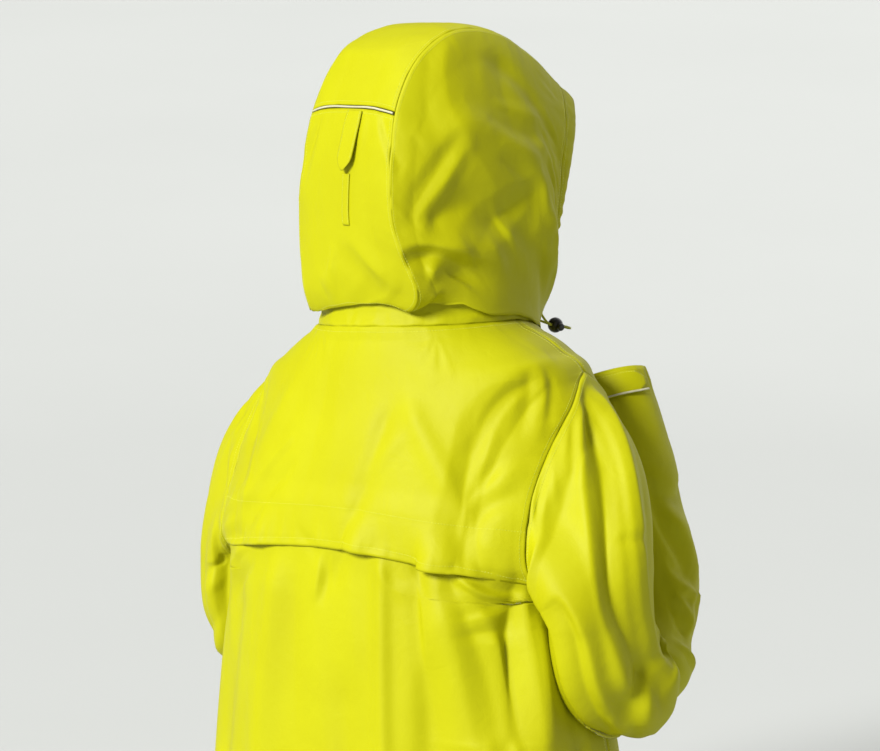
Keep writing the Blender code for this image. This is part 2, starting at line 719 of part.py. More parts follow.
def hood_shape(step, turn):
    step, turn = np.broadcast_arrays(np.asarray(step, float), np.asarray(turn, float))
    t = np.radians(turn)
    power = 2 / HOOD_ROUNDNESS
    side = -np.sign(np.cos(t)) * np.abs(np.cos(t)) ** power
    height = np.abs(np.sin(t)) ** power
    right = turn <= 90
    foot = np.where(right[..., None], hood_foot(step, 1.0), hood_foot(step, -1.0))
    half = read(HOOD, "half_width", step)
    foot_half = np.abs(foot[..., 0])
    width = foot_half + (half - foot_half) * ease(height / HOOD_FOOT_FLARE)
    x = side * width
    bow = read(HOOD, "bow", step) * np.sin(math.pi * height**BOW_LOW)
    kick = CHIN_KICK * bump(height - CHIN_KICK_HEIGHT, CHIN_KICK_REACH) * ease(1 - step / CHIN_KICK_STEPS)
    y = foot[..., 1] + (read(HOOD, "top_y", step) - foot[..., 1]) * height + bow - kick * ease(height / CHIN_KICK_FOOT)
    z = foot[..., 2] + (read(HOOD, "top_z", step) - foot[..., 2]) * height
    arch = np.stack((x, y, z), axis=-1)
    at_nape = ease((step - NAPE_STEP + NAPE_BLEND) / NAPE_BLEND)[..., None] ** 2
    nape = ring_round_collar((90 - turn) / 90 * read(HOOD, "foot", step) - HOOD_FOOT_TURN)
    points = arch + (nape - arch) * at_nape
    turned = math.radians(HEAD_TURN) * ease((points[..., 2] - HOOD_TURN_START) / HEAD_TURN_HEIGHT)
    x, y, z = np.moveaxis(points, -1, 0)
    cos, sin = np.cos(turned), np.sin(turned)
    return clear_of_collar(np.stack((x * cos + y * sin, y * cos - x * sin, z), axis=-1))


def clear_of_collar(points):
    """Points of the hood that would lie in the collar, moved out round it."""
    angle = np.degrees(np.arctan2(-points[..., 0], points[..., 1]))
    foot = collar_point(np.zeros_like(angle), angle)
    height = points[..., 2] - foot[..., 2]
    collar_face = collar_point(np.maximum(height, 0), angle)
    least = np.hypot(collar_face[..., 0], collar_face[..., 1]) + HOOD_STAND
    radius = np.hypot(points[..., 0], points[..., 1])
    beside = 1 - ease((height - COLLAR_HEIGHT - HOOD_STAND) / COLLAR_HEIGHT)
    push = np.maximum(least - radius, 0) * beside / radius
    return points + points * np.stack((push, push, 0 * push), axis=-1)


def hood_normal(step, turn):
    step, turn = np.broadcast_arrays(np.asarray(step, float), np.asarray(turn, float))
    step = np.clip(step, 0.03, NAPE_STEP - 0.03)
    turn = np.clip(turn, 1.0, 179.0)
    return -surface_normals(hood_shape, step, turn, 0.03, 1.0)


def hood_point(step, turn):
    """A point of the outer face of the hood, with its folds."""
    step, turn = np.broadcast_arrays(np.asarray(step, float), np.asarray(turn, float))
    u = step * HOOD_STEP
    v = np.radians(turn) * HOOD_RADIUS
    height = 0 * u
    for fold in HOOD_FOLDS:
        start = (fold.step * HOOD_STEP, math.radians(fold.turn) * HOOD_RADIUS)
        end = (fold.to_step * HOOD_STEP, math.radians(fold.to_turn) * HOOD_RADIUS)
        height = height + fold.height * segment_bump(u, v, start, end, fold.width)
    from_foot = np.minimum(turn, 180 - turn)
    height = height + SEAM_RIDGE * np.exp(-np.abs(from_foot - seam_turn(step)) / SEAM_RIDGE_WIDTH)
    height = height * ease(from_foot / 5)
    return hood_shape(step, turn) + hood_normal(step, turn) * height[..., None]


def seam_turn(step):
    return read(HOOD, "seam", step)


def hood_steps(start, end, count):
    return np.linspace(start, end, count + 1)[:, None]


def side_turns(steps, side):
    """Columns of a side panel, evenly spaced along each arch from its foot to the seam."""
    fine = np.linspace(0, 1, 61)
    turns = seam_turn(steps) * fine[None, :] ** FOOT_CROWDING
    points = hood_shape(steps, turns)
    lengths = np.linalg.norm(np.diff(points, axis=1), axis=-1)
    run = np.concatenate((0 * steps, np.cumsum(lengths, axis=1)), axis=1)
    share = np.linspace(0, 1, SIDE_COLUMNS + 1)
    even = np.stack([np.interp(share * row[-1], row, turn) for row, turn in zip(run, turns)])
    return even if side > 0 else 180 - even


def centre_turns(steps):
    seam = seam_turn(steps)
    share = np.linspace(0, 1, CENTRE_COLUMNS + 1)[None, :]
    return seam + (180 - 2 * seam) * share


def hood_piece(name, steps, turns, material):
    cloth(name, hood_point(steps, turns), hood_normal(steps, turns), material)


def hood_panels(material):
    upper = hood_steps(BAND_STEPS, CROWN_STEP, CROWN_ROWS)
    lower = hood_steps(CROWN_STEP, NAPE_STEP - SIDE_END, NAPE_ROWS)
    crown = upper.copy()
    crown[-1] -= PIPING_ROOM
    back = np.concatenate((lower, [[NAPE_STEP]]))
    back[0] += PIPING_ROOM
    hood_piece("hood_crown", crown, centre_turns(crown), material)
    hood_piece("hood_back", back, centre_turns(back), material)
    steps = np.concatenate((upper, lower[1:]))
    for name, side in (("hood_side_right", 1), ("hood_side_left", -1)):
        hood_piece(name, steps, side_turns(steps, side), material)


def between(points):
    """The points with one more halfway along each straight run between them."""
    middle = (points[1:] + points[:-1]) / 2
    mixed = np.empty((len(points) + len(middle), 3))
    mixed[::2] = points
    mixed[1::2] = middle
    return mixed


def hood_band(material):
    """The casing along the face edge. Its front edge is gathered below, where the drawcord draws it in."""
    seam = np.array([[BAND_STEPS]])
    turns = np.concatenate(
        (side_turns(seam, 1)[0], centre_turns(seam)[0, 1:-1], side_turns(seam, -1)[0, ::-1])
    )
    wave = (-1.0) ** np.arange(2 * len(turns) - 1)
    rows = []
    for step in (0.0, BAND_STEPS / 2, BAND_STEPS - BAND_ROOM):
        outer = between(hood_point(step, turns))
        normals = between(hood_normal(step, turns))
        z = outer[:, 2]
        drawn = ease((GATHER_TOP - z) / GATHER_FADE) * ease((z - GATHER_FOOT) / GATHER_FADE)
        height = GATHER_HEIGHT * wave * drawn * (1 - step / BAND_STEPS)
        rows.append((outer + normals * height[:, None], normals))
    cloth("hood_band", np.array([row[0] for row in rows]), np.array([row[1] for row in rows]), material)


def turn_at(step, x):
    """Degrees round the hood's arch of a place x to the side of its middle."""
    half = read(HOOD, "half_width", step)
    turned = np.degrees(np.arccos((np.abs(x) / half) ** (HOOD_ROUNDNESS / 2)))
    return np.where(x < 0, turned, 180 - turned)


def polyline_tube(name, points, radius, material):
    curve = bpy.data.curves.new(name, "CURVE")
    curve.dimensions = "3D"
    curve.bevel_depth = radius
    curve.bevel_resolution = 2
    curve.use_fill_caps = True
    curve.materials.append(material)
    spline = curve.splines.new("POLY")
    spline.points.add(len(points) - 1)
    for place, point in zip(spline.points, points):
        place.co = (*map(float, point), 1.0)
    made = bpy.data.objects.new(name, curve)
    JACKET.objects.link(made)
    return made


def hood_piping(material):
    turns = centre_turns(np.array([[CROWN_STEP]]))[0]
    turns[0] += PIPING_SET_IN
    turns[-1] -= PIPING_SET_IN
    out = PIPING_PROUD - WALL / 2
    points = hood_point(CROWN_STEP, turns) + hood_normal(CROWN_STEP, turns) * out
    polyline_tube("hood_piping", points, PIPING_RADIUS, material)


def strip_on_hood(name, steps, halves, lifts, wall, material):
    """A strip that lies on the back of the hood: its steps, its half width at each and its lift there."""
    across = np.array([-1.0, 0.0, 1.0])[None, :]
    steps = np.array(steps)[:, None]
    turns = turn_at(steps, TAB_MIDDLE_X + across * np.array(halves)[:, None])
    normals = hood_normal(steps, turns)
    lift = np.array(lifts)[:, None] + wall
    cloth(name, hood_point(steps, turns) + normals * lift[..., None], normals, material, wall)


def hood_tab(material):
    """The pointed tab, sewn in under the piping and standing off the hood towards its point."""
    start = CROWN_STEP + TAB_START
    share = np.array([0.0, 0.2, 0.4, 0.6, 0.82, 1.0])
    steps = start + TAB_STEPS * share
    halves = TAB_HALF * np.array([1, 1, 1, 1, 0.95, 0.12])
    strip_on_hood("hood_tab", steps, halves, TAB_LIFT + TAB_STAND * share**TAB_CURL, TAB_WALL, material)


def hood_loop_tape(material):
    steps = np.linspace(TAPE_TOP_STEP, TAPE_END_STEP, 5)
    lifts = np.full(5, TAB_LIFT)
    strip_on_hood("hood_loop_tape", steps, np.full(5, TAPE_HALF), lifts, TAPE_WALL, material)


# --- Cuff tabs


def cuff_strip(name, table, side, edges, lift, wall, material):
    """A strip that goes round the cuff and stands off it more and more towards its free end."""
    low, high = np.array(edges)[:, None, :]
    share = np.linspace(0, 1, low.shape[1])[None, :]
    turns = CUFF_TAB_START + (CUFF_TAB_END - CUFF_TAB_START) * share
    up = np.linspace(0, 1, 3)[:, None]
    from_edge = CUFF_TAB_MIDDLE - CUFF_TAB_HALF * (low + (high - low) * up)
    last, before = np.array(table[-1])[1:4], np.array(table[-2])[1:4]
    places = table[-1].place - from_edge / np.linalg.norm(last - before)
    places, turns = np.broadcast_arrays(places, turns)

    def surface(place, turn):
        return arm_point(table, place, turn, side)

    inside = np.minimum(places, table[-1].place - ARM_STEP)
    normals = surface_normals(surface, inside, turns, ARM_STEP, TURN_STEP) * -side
    lift = lift + CUFF_TAB_STAND * share**2 + wall
    cloth(name, surface(places, turns) + normals * lift[..., None], normals, material, wall)


def cuff_tab(side, table, cloth_material, trim_material):
    """The adjuster tab of a cuff, with a blunt point, and the reflective edge along its lower side."""
    end = "right" if side > 0 else "left"
    edges = (TAB_LOW_EDGE, TAB_HIGH_EDGE)
    cuff_strip(f"cuff_tab_{end}", table, side, edges, CUFF_TAB_LIFT, TAB_WALL, cloth_material)
    low_edge = np.array(TAB_LOW_EDGE[:-1])
    edges = (low_edge + CUFF_TRIM_INSET, low_edge + CUFF_TRIM_INSET + CUFF_TRIM)
    lift = CUFF_TAB_LIFT + TAB_WALL + CUFF_TRIM_LIFT
    cuff_strip(f"cuff_trim_{end}", table, side, edges, lift, CUFF_TRIM_WALL, trim_material)


# --- Front zip


def zip_strip(name, half, drop, wall, top, material):
    """A strip up the middle of the front and the collar, drop metres in from their outer face."""

    def across(level):
        edge = float(zip_edge(level, half))
        return np.array([-edge, 180.0, edge])

    rows = [body_point(level, across(level)) for level in body_levels()]
    rows += [collar_point(np.full(3, height), across(NECK)) for height in (top / 2, top)]
    outer = np.array(rows) + np.array((0.0, drop, 0.0))
    normals = np.broadcast_to(np.array((0.0, -1.0, 0.0)), outer.shape)
    cloth(name, outer, normals, material, wall)


def box(name, low, high):
    bpy.ops.mesh.primitive_cube_add(size=1.0)
    made = bpy.context.object
    made.name = name
    low, high = np.array(low), np.array(high)
    made.data.transform(Matrix.Diagonal((*(high - low), 1.0)))
    made.data.transform(Matrix.Translation((low + high) / 2))
    return made


def settle(made, material, origin=(0.0, 0.0, 0.0)):
    """Gives an object its material, its origin and its place among the jacket's pieces."""
    made.data.transform(Matrix.Translation(-Vector(origin)))
    made.location = origin
    for home in list(made.users_collection):
        home.objects.unlink(made)
    JACKET.objects.link(made)
    made.data.materials.clear()
    made.data.materials.append(material)


def combine(base, others, operation):
    for other in others:
        change = base.modifiers.new(other.name, "BOOLEAN")
        change.operation = operation
        change.solver = "EXACT"
        change.object = other
        for home in list(other.users_collection):
            home.objects.unlink(other)
        CUTTERS.objects.link(other)
        other.hide_render = True
        other.display_type = "WIRE"


def slider_place():
    return collar_point(np.array(SLIDER_HEIGHT), np.array(180.0))


def zip_slider(material):
    """A block on the chain with a bridge across which the pull tab hangs."""
    face = slider_place() + (0.0, -SLIDER_PROUD, 0.0)
    low = face + (-SLIDER_HALF, 0.0, -SLIDER_LONG)
    body = box("zip_slider", low, face + (SLIDER_HALF, SLIDER_THICK, SLIDER_LONG))
    top = -BRIDGE_ROOM - BRIDGE_BAR
    added = []
    for name, z in (("upper_post", BRIDGE_HALF - BRIDGE_BAR), ("lower_post", -BRIDGE_HALF)):
        low = face + (-BRIDGE_SIDE, top, z)
        added.append(box(name, low, face + (BRIDGE_SIDE, BRIDGE_FOOT, z + BRIDGE_BAR)))
    low = face + (-BRIDGE_SIDE, top, -BRIDGE_HALF + BRIDGE_FOOT / 4)
    high = face + (BRIDGE_SIDE, -BRIDGE_ROOM, BRIDGE_HALF - BRIDGE_FOOT / 4)
    added.append(box("bridge", low, high))
    combine(body, added, "UNION")
    settle(body, material)


def zip_pull(material):
    """The pull tab, hanging from its bar under the slider's bridge."""
    pivot = slider_place() + (0.0, -SLIDER_PROUD - PULL_AXIS, 0.0)
    half = PULL_THICK / 2
    body = box("zip_pull", pivot + (-PULL_HALF, -half, -PULL_LONG), pivot + (PULL_HALF, half, half))
    low = pivot + (-PULL_HOLE, -PULL_THICK, -PULL_HOLE_LOW)
    combine(body, [box("pull_hole", low, pivot + (PULL_HOLE, PULL_THICK, -half))], "DIFFERENCE")
    settle(body, material, pivot)


# --- Drawcord and locks


def lock_frame(lock):
    """The lock's middle, the way the cord goes, the button's way and the way across both."""
    along = unit(np.array(lock.along))
    button = np.array(lock.button)
    button = unit(button - along * (along @ button))
    return np.array(lock.middle), along, button, np.cross(along, button)


def smooth_route(points, spacing):
    """Points a set way apart along a smooth curve through the given ones."""
    points = np.array(points)
    chords = np.linalg.norm(np.diff(points, axis=0), axis=1)
    at = np.concatenate(([0.0], np.cumsum(chords)))
    slopes = np.gradient(points, at, axis=0)
    fine = np.linspace(0, at[-1], 400)
    row = np.clip(np.searchsorted(at, fine, side="right") - 1, 0, len(at) - 2)
    span = (at[row + 1] - at[row])[:, None]
    t = (fine - at[row])[:, None] / span
    start = points[row] * (1 + 2 * t) * (1 - t) ** 2 + slopes[row] * span * t * (1 - t) ** 2
    end = points[row + 1] * t * t * (3 - 2 * t) + slopes[row + 1] * span * t * t * (t - 1)
    curve = start + end
    run = np.concatenate(([0.0], np.cumsum(np.linalg.norm(np.diff(curve, axis=0), axis=1))))
    steps = np.linspace(0, run[-1], max(2, round(run[-1] / spacing)) + 1)
    return np.stack([np.interp(steps, run, curve[:, axis]) for axis in range(3)], axis=-1)


def cord_route(lock):
    """From the casing through the lock, round a loop and back through the lock to the casing."""
    middle, along, button, _ = lock_frame(lock)
    upper, lower = lock.exits
    ends = []
    for turn in (upper, lower):
        edge = hood_point(0.0, turn) - hood_normal(0.0, turn) * WALL / 2
        forward = unit(hood_point(0.0, turn) - hood_point(CORD_EXIT_STEP, turn))
        ends.append((edge + forward * CORD_EXIT_GAP, edge + forward * (CORD_EXIT_GAP + CORD_DIAMETER)))
    strand = button * STRAND_APART / 2
    mouth = along * (LOCK_RADIUS + CORD_DIAMETER / 2)
    loop = along * (LOCK_RADIUS + CORD_LOOP)
    out = [middle + strand - mouth, middle + strand, middle + strand + mouth]
    back = [middle - strand + mouth, middle - strand, middle - strand - mouth]
    shoulder = loop * CORD_LOOP_SHOULDER
    wide = button * CORD_LOOP_HALF
    bend = [middle + shoulder + wide, middle + loop, middle + shoulder - wide]
    return smooth_route([*ends[0], *out, *bend, *back, *ends[1][::-1]], CORD_SPACING)


def along_axes(made, origin, first, second, third):
    """Turns and moves a shape made round the origin so that its X, Y and Z lie along the given ways."""
    made.data.transform(Matrix((first, second, third)).transposed().to_4x4())
    made.data.transform(Matrix.Translation(origin))


def cylinder(name, radius, low, high):
    bpy.ops.mesh.primitive_cylinder_add(vertices=BORE_SEGMENTS, radius=radius, depth=high - low)
    made = bpy.context.object
    made.name = name
    made.data.transform(Matrix.Translation((0.0, 0.0, (high + low) / 2)))
    return made


def cord_lock(lock, material):
    """The ball with its slot and blind bore, and the button with its cross hole. Z is the button's way."""
    middle, along, button, across = lock_frame(lock)
    bpy.ops.mesh.primitive_uv_sphere_add(segments=LOCK_SEGMENTS, ring_count=LOCK_RINGS, radius=LOCK_RADIUS)
    barrel = bpy.context.object
    barrel.name = f"lock_barrel_{lock.side}"
    floor = BUTTON_HOLE_LOW - BUTTON_FLOOR
    bore_floor = floor - BUTTON_STROKE - BUTTON_CLEARANCE
    bore = cylinder("bore", BUTTON_RADIUS + BUTTON_CLEARANCE, bore_floor, 2 * LOCK_RADIUS)
    slot_size = np.array((2 * LOCK_RADIUS, LOCK_SLOT / 2, LOCK_SLOT_HALF))
    slot = box("slot", -slot_size, slot_size)
    stem = cylinder(f"lock_button_{lock.side}", BUTTON_RADIUS, floor, LOCK_RADIUS + BUTTON_HEAD)
    low = (-LOCK_RADIUS, -LOCK_SLOT / 2, BUTTON_HOLE_LOW)
    hole = box("cross_hole", low, (LOCK_RADIUS, LOCK_SLOT / 2, BUTTON_HOLE_HIGH))
    for made in (barrel, bore, slot, stem, hole):
        along_axes(made, middle, along, across * -1, button)
    combine(barrel, [bore, slot], "DIFFERENCE")
    combine(stem, [hole], "DIFFERENCE")
    settle(barrel, material, middle)
    settle(stem, material, middle)


# --- The whole jacket


def plain_material(name, colour, roughness, metallic=0.0):
    material = bpy.data.materials.new(name)
    material.use_nodes = True
    shader = material.node_tree.nodes["Principled BSDF"]
    shader.inputs["Base Color"].default_value = (*colour, 1.0)
    shader.inputs["Roughness"].default_value = roughness
    shader.inputs["Metallic"].default_value = metallic
    return material


def clear_scene():
    for old in list(bpy.data.objects):
        bpy.data.objects.remove(old, do_unlink=True)


def collection(name):
    made = bpy.data.collections.new(name)
    bpy.context.scene.collection.children.link(made)
    return made


clear_scene()
JACKET = collection("rain_jacket")
CUTTERS = collection("cutters")

CLOTH = plain_material("coated_cloth", (0.62, 0.66, 0.01), 0.45)
TRIM = plain_material("reflective_trim", (0.55, 0.54, 0.48), 0.3)
METAL = plain_material("zip_metal", (0.35, 0.36, 0.38), 0.35, 0.9)
CORD = plain_material("cord", (0.42, 0.43, 0.02), 0.6)
PLASTIC = plain_material("lock_plastic", (0.012, 0.012, 0.013), 0.35)

back_panel(CLOTH)
back_yoke(CLOTH)
front_panel("front_right", 1, CLOTH)
front_panel("front_left", -1, CLOTH)
sleeve("sleeve_right", RIGHT_ARM, 1, CLOTH)
sleeve("sleeve_left", LEFT_ARM, -1, CLOTH)
cuff_tab(1, RIGHT_ARM, CLOTH, TRIM)
cuff_tab(-1, LEFT_ARM, CLOTH, TRIM)
collar(CLOTH)
hood_panels(CLOTH)
hood_band(CLOTH)
hood_piping(TRIM)
hood_tab(CLOTH)
hood_loop_tape(CLOTH)
zip_strip("zip_tape", ZIP_TAPE_HALF, ZIP_TAPE_DROP, ZIP_TAPE_WALL, COLLAR_HEIGHT - ZIP_END, CLOTH)
zip_strip("zip_chain", ZIP_CHAIN_HALF, 0.0, WALL, SLIDER_HEIGHT - SLIDER_LONG - SEAM_GAP, METAL)
zip_slider(METAL)
zip_pull(METAL)
for lock in LOCKS:
    polyline_tube(f"hood_cord_{lock.side}", cord_route(lock), CORD_DIAMETER / 2, CORD)
    cord_lock(lock, PLASTIC)
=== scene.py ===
"""The looks of a hooded rain jacket, on the form of its solids.

Metres, +Z up, in the frame of the solids. The back faces +Y and the wearer's right is -X. Angles round the
body and the neck are in degrees from the middle of the back, positive towards the wearer's right.
"""

import math
from collections import namedtuple

import bpy
import numpy as np
from mathutils import Matrix, Vector


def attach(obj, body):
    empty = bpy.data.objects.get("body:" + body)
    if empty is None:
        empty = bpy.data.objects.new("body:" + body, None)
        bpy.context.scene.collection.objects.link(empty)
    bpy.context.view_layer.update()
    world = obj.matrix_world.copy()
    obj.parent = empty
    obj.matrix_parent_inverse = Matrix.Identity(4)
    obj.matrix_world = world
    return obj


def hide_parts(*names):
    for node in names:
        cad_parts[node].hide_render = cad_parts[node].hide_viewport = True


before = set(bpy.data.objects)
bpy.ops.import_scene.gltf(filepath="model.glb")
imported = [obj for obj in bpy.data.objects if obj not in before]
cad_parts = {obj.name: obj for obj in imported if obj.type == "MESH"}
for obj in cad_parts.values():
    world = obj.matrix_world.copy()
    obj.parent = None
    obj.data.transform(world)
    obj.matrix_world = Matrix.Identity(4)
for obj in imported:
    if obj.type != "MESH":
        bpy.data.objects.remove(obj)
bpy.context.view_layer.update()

# Camera: degrees round the jacket and above the horizon, metres away, lens and frame in millimetres and
# pixels, and the pixel at which the middle of the neck shows.
VIEW_AZIMUTH = 216.0
VIEW_ELEVATION = 6.0
VIEW_DISTANCE = 3.3
LENS = 118.0
SENSOR = 36.0
IMAGE = (880, 751)
NECK_PIXEL = (417, 320)

# The cloth's own shell, its mesh counts and the seams' and hems' sizes
SHELL = 0.0009
SLEEVE_FINE = 7
HOOD_FINE = 16
SEAM_GROOVE = 0.0002
SEAM_GROOVE_WIDTH = 0.0014
SEAM_RISES = {
    "seam": (0.0, 0.01),
    "armhole": (0.0140, 0.050),
    "ridge": (0.0045, 0.040),
    "neck": (0.0040, 0.016),
}
ARMHOLE_LOW = -0.285
ARMHOLE_HIGH = -0.040
SEAM_ALLOWANCE = 0.0065
SEAM_PROUD = 0.0002
SEAM_SPREAD = 0.0034
PUCKER = 0.0011
PUCKER_LENGTH = 0.014
PUCKER_FADE = 0.017
HEM_DEPTH = 0.018
HEM_PROUD = 0.0003
HEM_WALL = 0.0004
HEM_ROLL = 0.0016
HEM_STITCH = 0.003
HEM_STEP = 0.002
STITCH_PITCH = 0.0034
STITCH_LONG = 0.0025
STITCH_HALF = 0.00030
LOOK_AHEAD = 0.001
# How much further than its solid the hood's foot hangs, in millimetres, from the left to the right.
DRAPE = ((-0.12, -2.0), (-0.06, -8.0), (0.0, -11.0), (0.05, -9.0), (0.08, 8.0), (0.13, 17.0))
DRAPE_WAY = (-0.81, -0.59)
DRAPE_TOP = 0.075
PIPING_SAG = 0.010
PIPING_HALF = 36.0
PIPING_EDGE = 24.0
PIPING_THIN = 0.0012

# Driving sizes
WALL = 0.002
SEAM_GAP = 0.0003
SIDE_SEAM = 96.0
UNDERARM = 4.0
SHOULDER_POINT = 7.0
NECK = 10.0
ARMHOLE_BACK = 30.0
ARMHOLE_FRONT = 28.0
ARMHOLE_FULL = 2.5
ARMHOLE_TOP = 0.9
ARMHOLE_FOOT = 16
RIGHT_SHOULDER_RISE = 0.012
SHOULDER_FORWARD = 0.016
SLOPE_START = 4.5
ARM_DENT = 0.030
ARM_DENT_ANGLE = 100.0
ARM_DENT_REACH = 24.0
ARM_DENT_LEVEL = 3.3

# The free flap of the yoke, in levels of the body
YOKE_SEAM = 5.0
FLAP_MIDDLE = 4.50
FLAP_END = 4.24
FLAP_CURVE = 0.8
FLAP_LIFT = WALL + 0.0012

# The front zip
ZIP_GAP = 0.006
ZIP_TAPE_HALF = 0.015
ZIP_CHAIN_HALF = 0.0026
ZIP_TAPE_DROP = WALL + 0.0007
ZIP_TAPE_WALL = 0.0010
ZIP_END = 0.002

# Collar and hood
COLLAR_HEIGHT = 0.036
HOOD_SEAM_HEIGHT = 0.019
HOOD_STAND = WALL + 0.0008
COLLAR_LEAN = 0.10
HOOD_TURN_START = 0.012
HEAD_TURN = 12.0
HEAD_TURN_HEIGHT = 0.12
BAND_STEPS = 0.62
BAND_ROOM = 0.014
CROWN_STEP = 5.9
NAPE_STEP = 10.0
SIDE_END = 0.25
FOOT_CROWDING = 1.6

# Mesh counts, and how much the armhole moves the columns next to it
EDGE_SHARE = 1.6
BACK_COLUMNS = 200
FRONT_COLUMNS = 60
TORSO_ROWS = 150
ARMHOLE_ROWS = 72
SHOULDER_ROWS = 24
CAP_ROWS = 8
ARM_ROWS = 14
SIDE_COLUMNS = 90
CENTRE_COLUMNS = 54

# Rings of the body. At each level: the height at the back, side and front, and the half sizes.
Ring = namedtuple("Ring", "level back_z side_z front_z half_width back_depth front_depth squareness")
BODY = (
    Ring(0.0, -0.740, -0.742, -0.740, 0.268, 0.182, 0.168, 2.3),
    Ring(1.0, -0.600, -0.600, -0.600, 0.260, 0.174, 0.162, 2.4),
    Ring(2.0, -0.470, -0.470, -0.470, 0.252, 0.168, 0.155, 2.4),
    Ring(3.0, -0.360, -0.360, -0.360, 0.240, 0.162, 0.150, 2.5),
    Ring(4.0, -0.285, -0.292, -0.290, 0.226, 0.157, 0.145, 2.6),
    Ring(5.0, -0.200, -0.212, -0.215, 0.214, 0.149, 0.143, 2.6),
    Ring(6.0, -0.125, -0.132, -0.155, 0.208, 0.136, 0.140, 2.5),
    Ring(7.0, -0.070, -0.060, -0.110, 0.203, 0.118, 0.138, 2.3),
    Ring(8.0, -0.038, -0.036, -0.080, 0.176, 0.109, 0.139, 2.3),
    Ring(9.0, -0.015, -0.016, -0.058, 0.146, 0.102, 0.141, 2.3),
    Ring(10.0, 0.000, -0.004, -0.040, 0.119, 0.096, 0.142, 2.3),
)

# Folds of the body: a ridge, or a trough where height is negative, from one place to another.
Fold = namedtuple("Fold", "angle z to_angle to_z width height")
BODY_FOLDS = (
    Fold(0, -0.27, 20, -0.11, 0.016, -0.004),
    Fold(-44, -0.09, -58, -0.24, 0.020, 0.005),
    Fold(-30, -0.30, -36, -0.74, 0.022, 0.008),
    Fold(-52, -0.33, -60, -0.70, 0.020, -0.008),
    Fold(22, -0.26, 25, -0.60, 0.012, 0.007),
    Fold(38, -0.26, 48, -0.76, 0.022, -0.014),
    Fold(60, -0.34, 66, -0.78, 0.024, 0.012),
    Fold(8, -0.42, 4, -0.78, 0.030, -0.006),
    Fold(56, -0.22, 34, -0.10, 0.015, 0.005),
    Fold(46, -0.28, 58, -0.16, 0.012, -0.004),
    Fold(120, -0.30, 128, -0.76, 0.024, 0.009),
    Fold(142, -0.36, 146, -0.78, 0.026, -0.008),
    Fold(-112, -0.34, -106, -0.78, 0.024, -0.008),
    Fold(-128, -0.30, -134, -0.76, 0.024, 0.009),
    Fold(-152, -0.34, -150, -0.78, 0.026, -0.007),
    Fold(150, -0.13, 128, -0.26, 0.020, 0.005),
    Fold(-150, -0.13, -128, -0.26, 0.020, 0.005),
)
FOLD_RADIUS = 0.20

# Sections of a sleeve from under the armhole to the cuff: thick is the half size in the plane in which
# the elbow bends, and wide is the half size across it.
Section = namedtuple("Section", "place x y z thick wide")
RIGHT_ARM = (
    Section(0.0, -0.262, 0.012, -0.300, 0.082, 0.058),
    Section(1.0, -0.262, 0.004, -0.350, 0.078, 0.062),
    Section(2.0, -0.260, -0.020, -0.388, 0.068, 0.064),
    Section(3.0, -0.254, -0.058, -0.397, 0.060, 0.063),
    Section(4.0, -0.244, -0.096, -0.378, 0.055, 0.060),
    Section(5.0, -0.230, -0.130, -0.340, 0.055, 0.060),
    Section(6.0, -0.214, -0.146, -0.275, 0.055, 0.058),
    Section(7.0, -0.194, -0.160, -0.205, 0.052, 0.055),
    Section(8.0, -0.168, -0.172, -0.135, 0.047, 0.051),
    Section(9.0, -0.143, -0.181, -0.074, 0.042, 0.047),
)
LEFT_ARM = (
    Section(0.0, 0.256, -0.016, -0.300, 0.072, 0.050),
    Section(1.0, 0.260, -0.022, -0.356, 0.070, 0.054),
    Section(2.0, 0.262, -0.044, -0.404, 0.064, 0.058),
    Section(3.0, 0.257, -0.084, -0.430, 0.058, 0.058),
    Section(4.0, 0.246, -0.130, -0.434, 0.054, 0.056),
    Section(5.0, 0.231, -0.174, -0.424, 0.051, 0.053),
    Section(6.0, 0.214, -0.214, -0.410, 0.048, 0.050),
    Section(7.0, 0.197, -0.252, -0.397, 0.045, 0.047),
    Section(8.0, 0.181, -0.287, -0.386, 0.042, 0.045),
    Section(9.0, 0.167, -0.318, -0.377, 0.040, 0.044),
)
ARM_FORWARD = 0.25
ARM_STEP = 0.05
TURN_STEP = 2.0
CAP_REACH_UNDER = 0.035
CAP_CURVE = 0.8
UNDERARM_Z = -0.276
UNDERARM_BLEND = 0.012
ARM_CLEAR = 0.006

# How the top of each sleeve leaves the shoulder: the pull of its curve, and how steeply it starts.
RIGHT_CAP = (0.30, 0.45)
LEFT_CAP = (0.24, 0.18)

# Folds of a sleeve, in rows from the armhole seam and degrees round it: 0 outwards, 90 to the back.
SLEEVE_ROW = 0.028
SLEEVE_RADIUS = 0.07
SleeveFold = namedtuple("SleeveFold", "row turn to_row to_turn width height")
RIGHT_FOLDS = (
    SleeveFold(0.9, 40, 8.0, 30, 0.020, 0.006),
    SleeveFold(1.8, 75, 10.0, 62, 0.018, -0.007),
    SleeveFold(1.8, 105, 9.0, 100, 0.020, 0.007),
    SleeveFold(10.0, 20, 11.5, 110, 0.016, -0.008),
    SleeveFold(12.5, -30, 13.5, 80, 0.015, -0.008),
    SleeveFold(15.0, -20, 15.5, 70, 0.014, -0.006),
    SleeveFold(17.0, 0, 16.0, 90, 0.014, 0.005),
)
LEFT_FOLDS = (
    SleeveFold(0.9, 40, 8.0, 30, 0.020, 0.006),
    SleeveFold(1.8, 80, 10.0, 70, 0.018, -0.006),
    SleeveFold(10.0, 10, 11.5, 100, 0.016, -0.007),
    SleeveFold(13.0, -30, 14.0, 80, 0.015, -0.007),
    SleeveFold(17.0, 0, 16.0, 90, 0.014, 0.005),
)

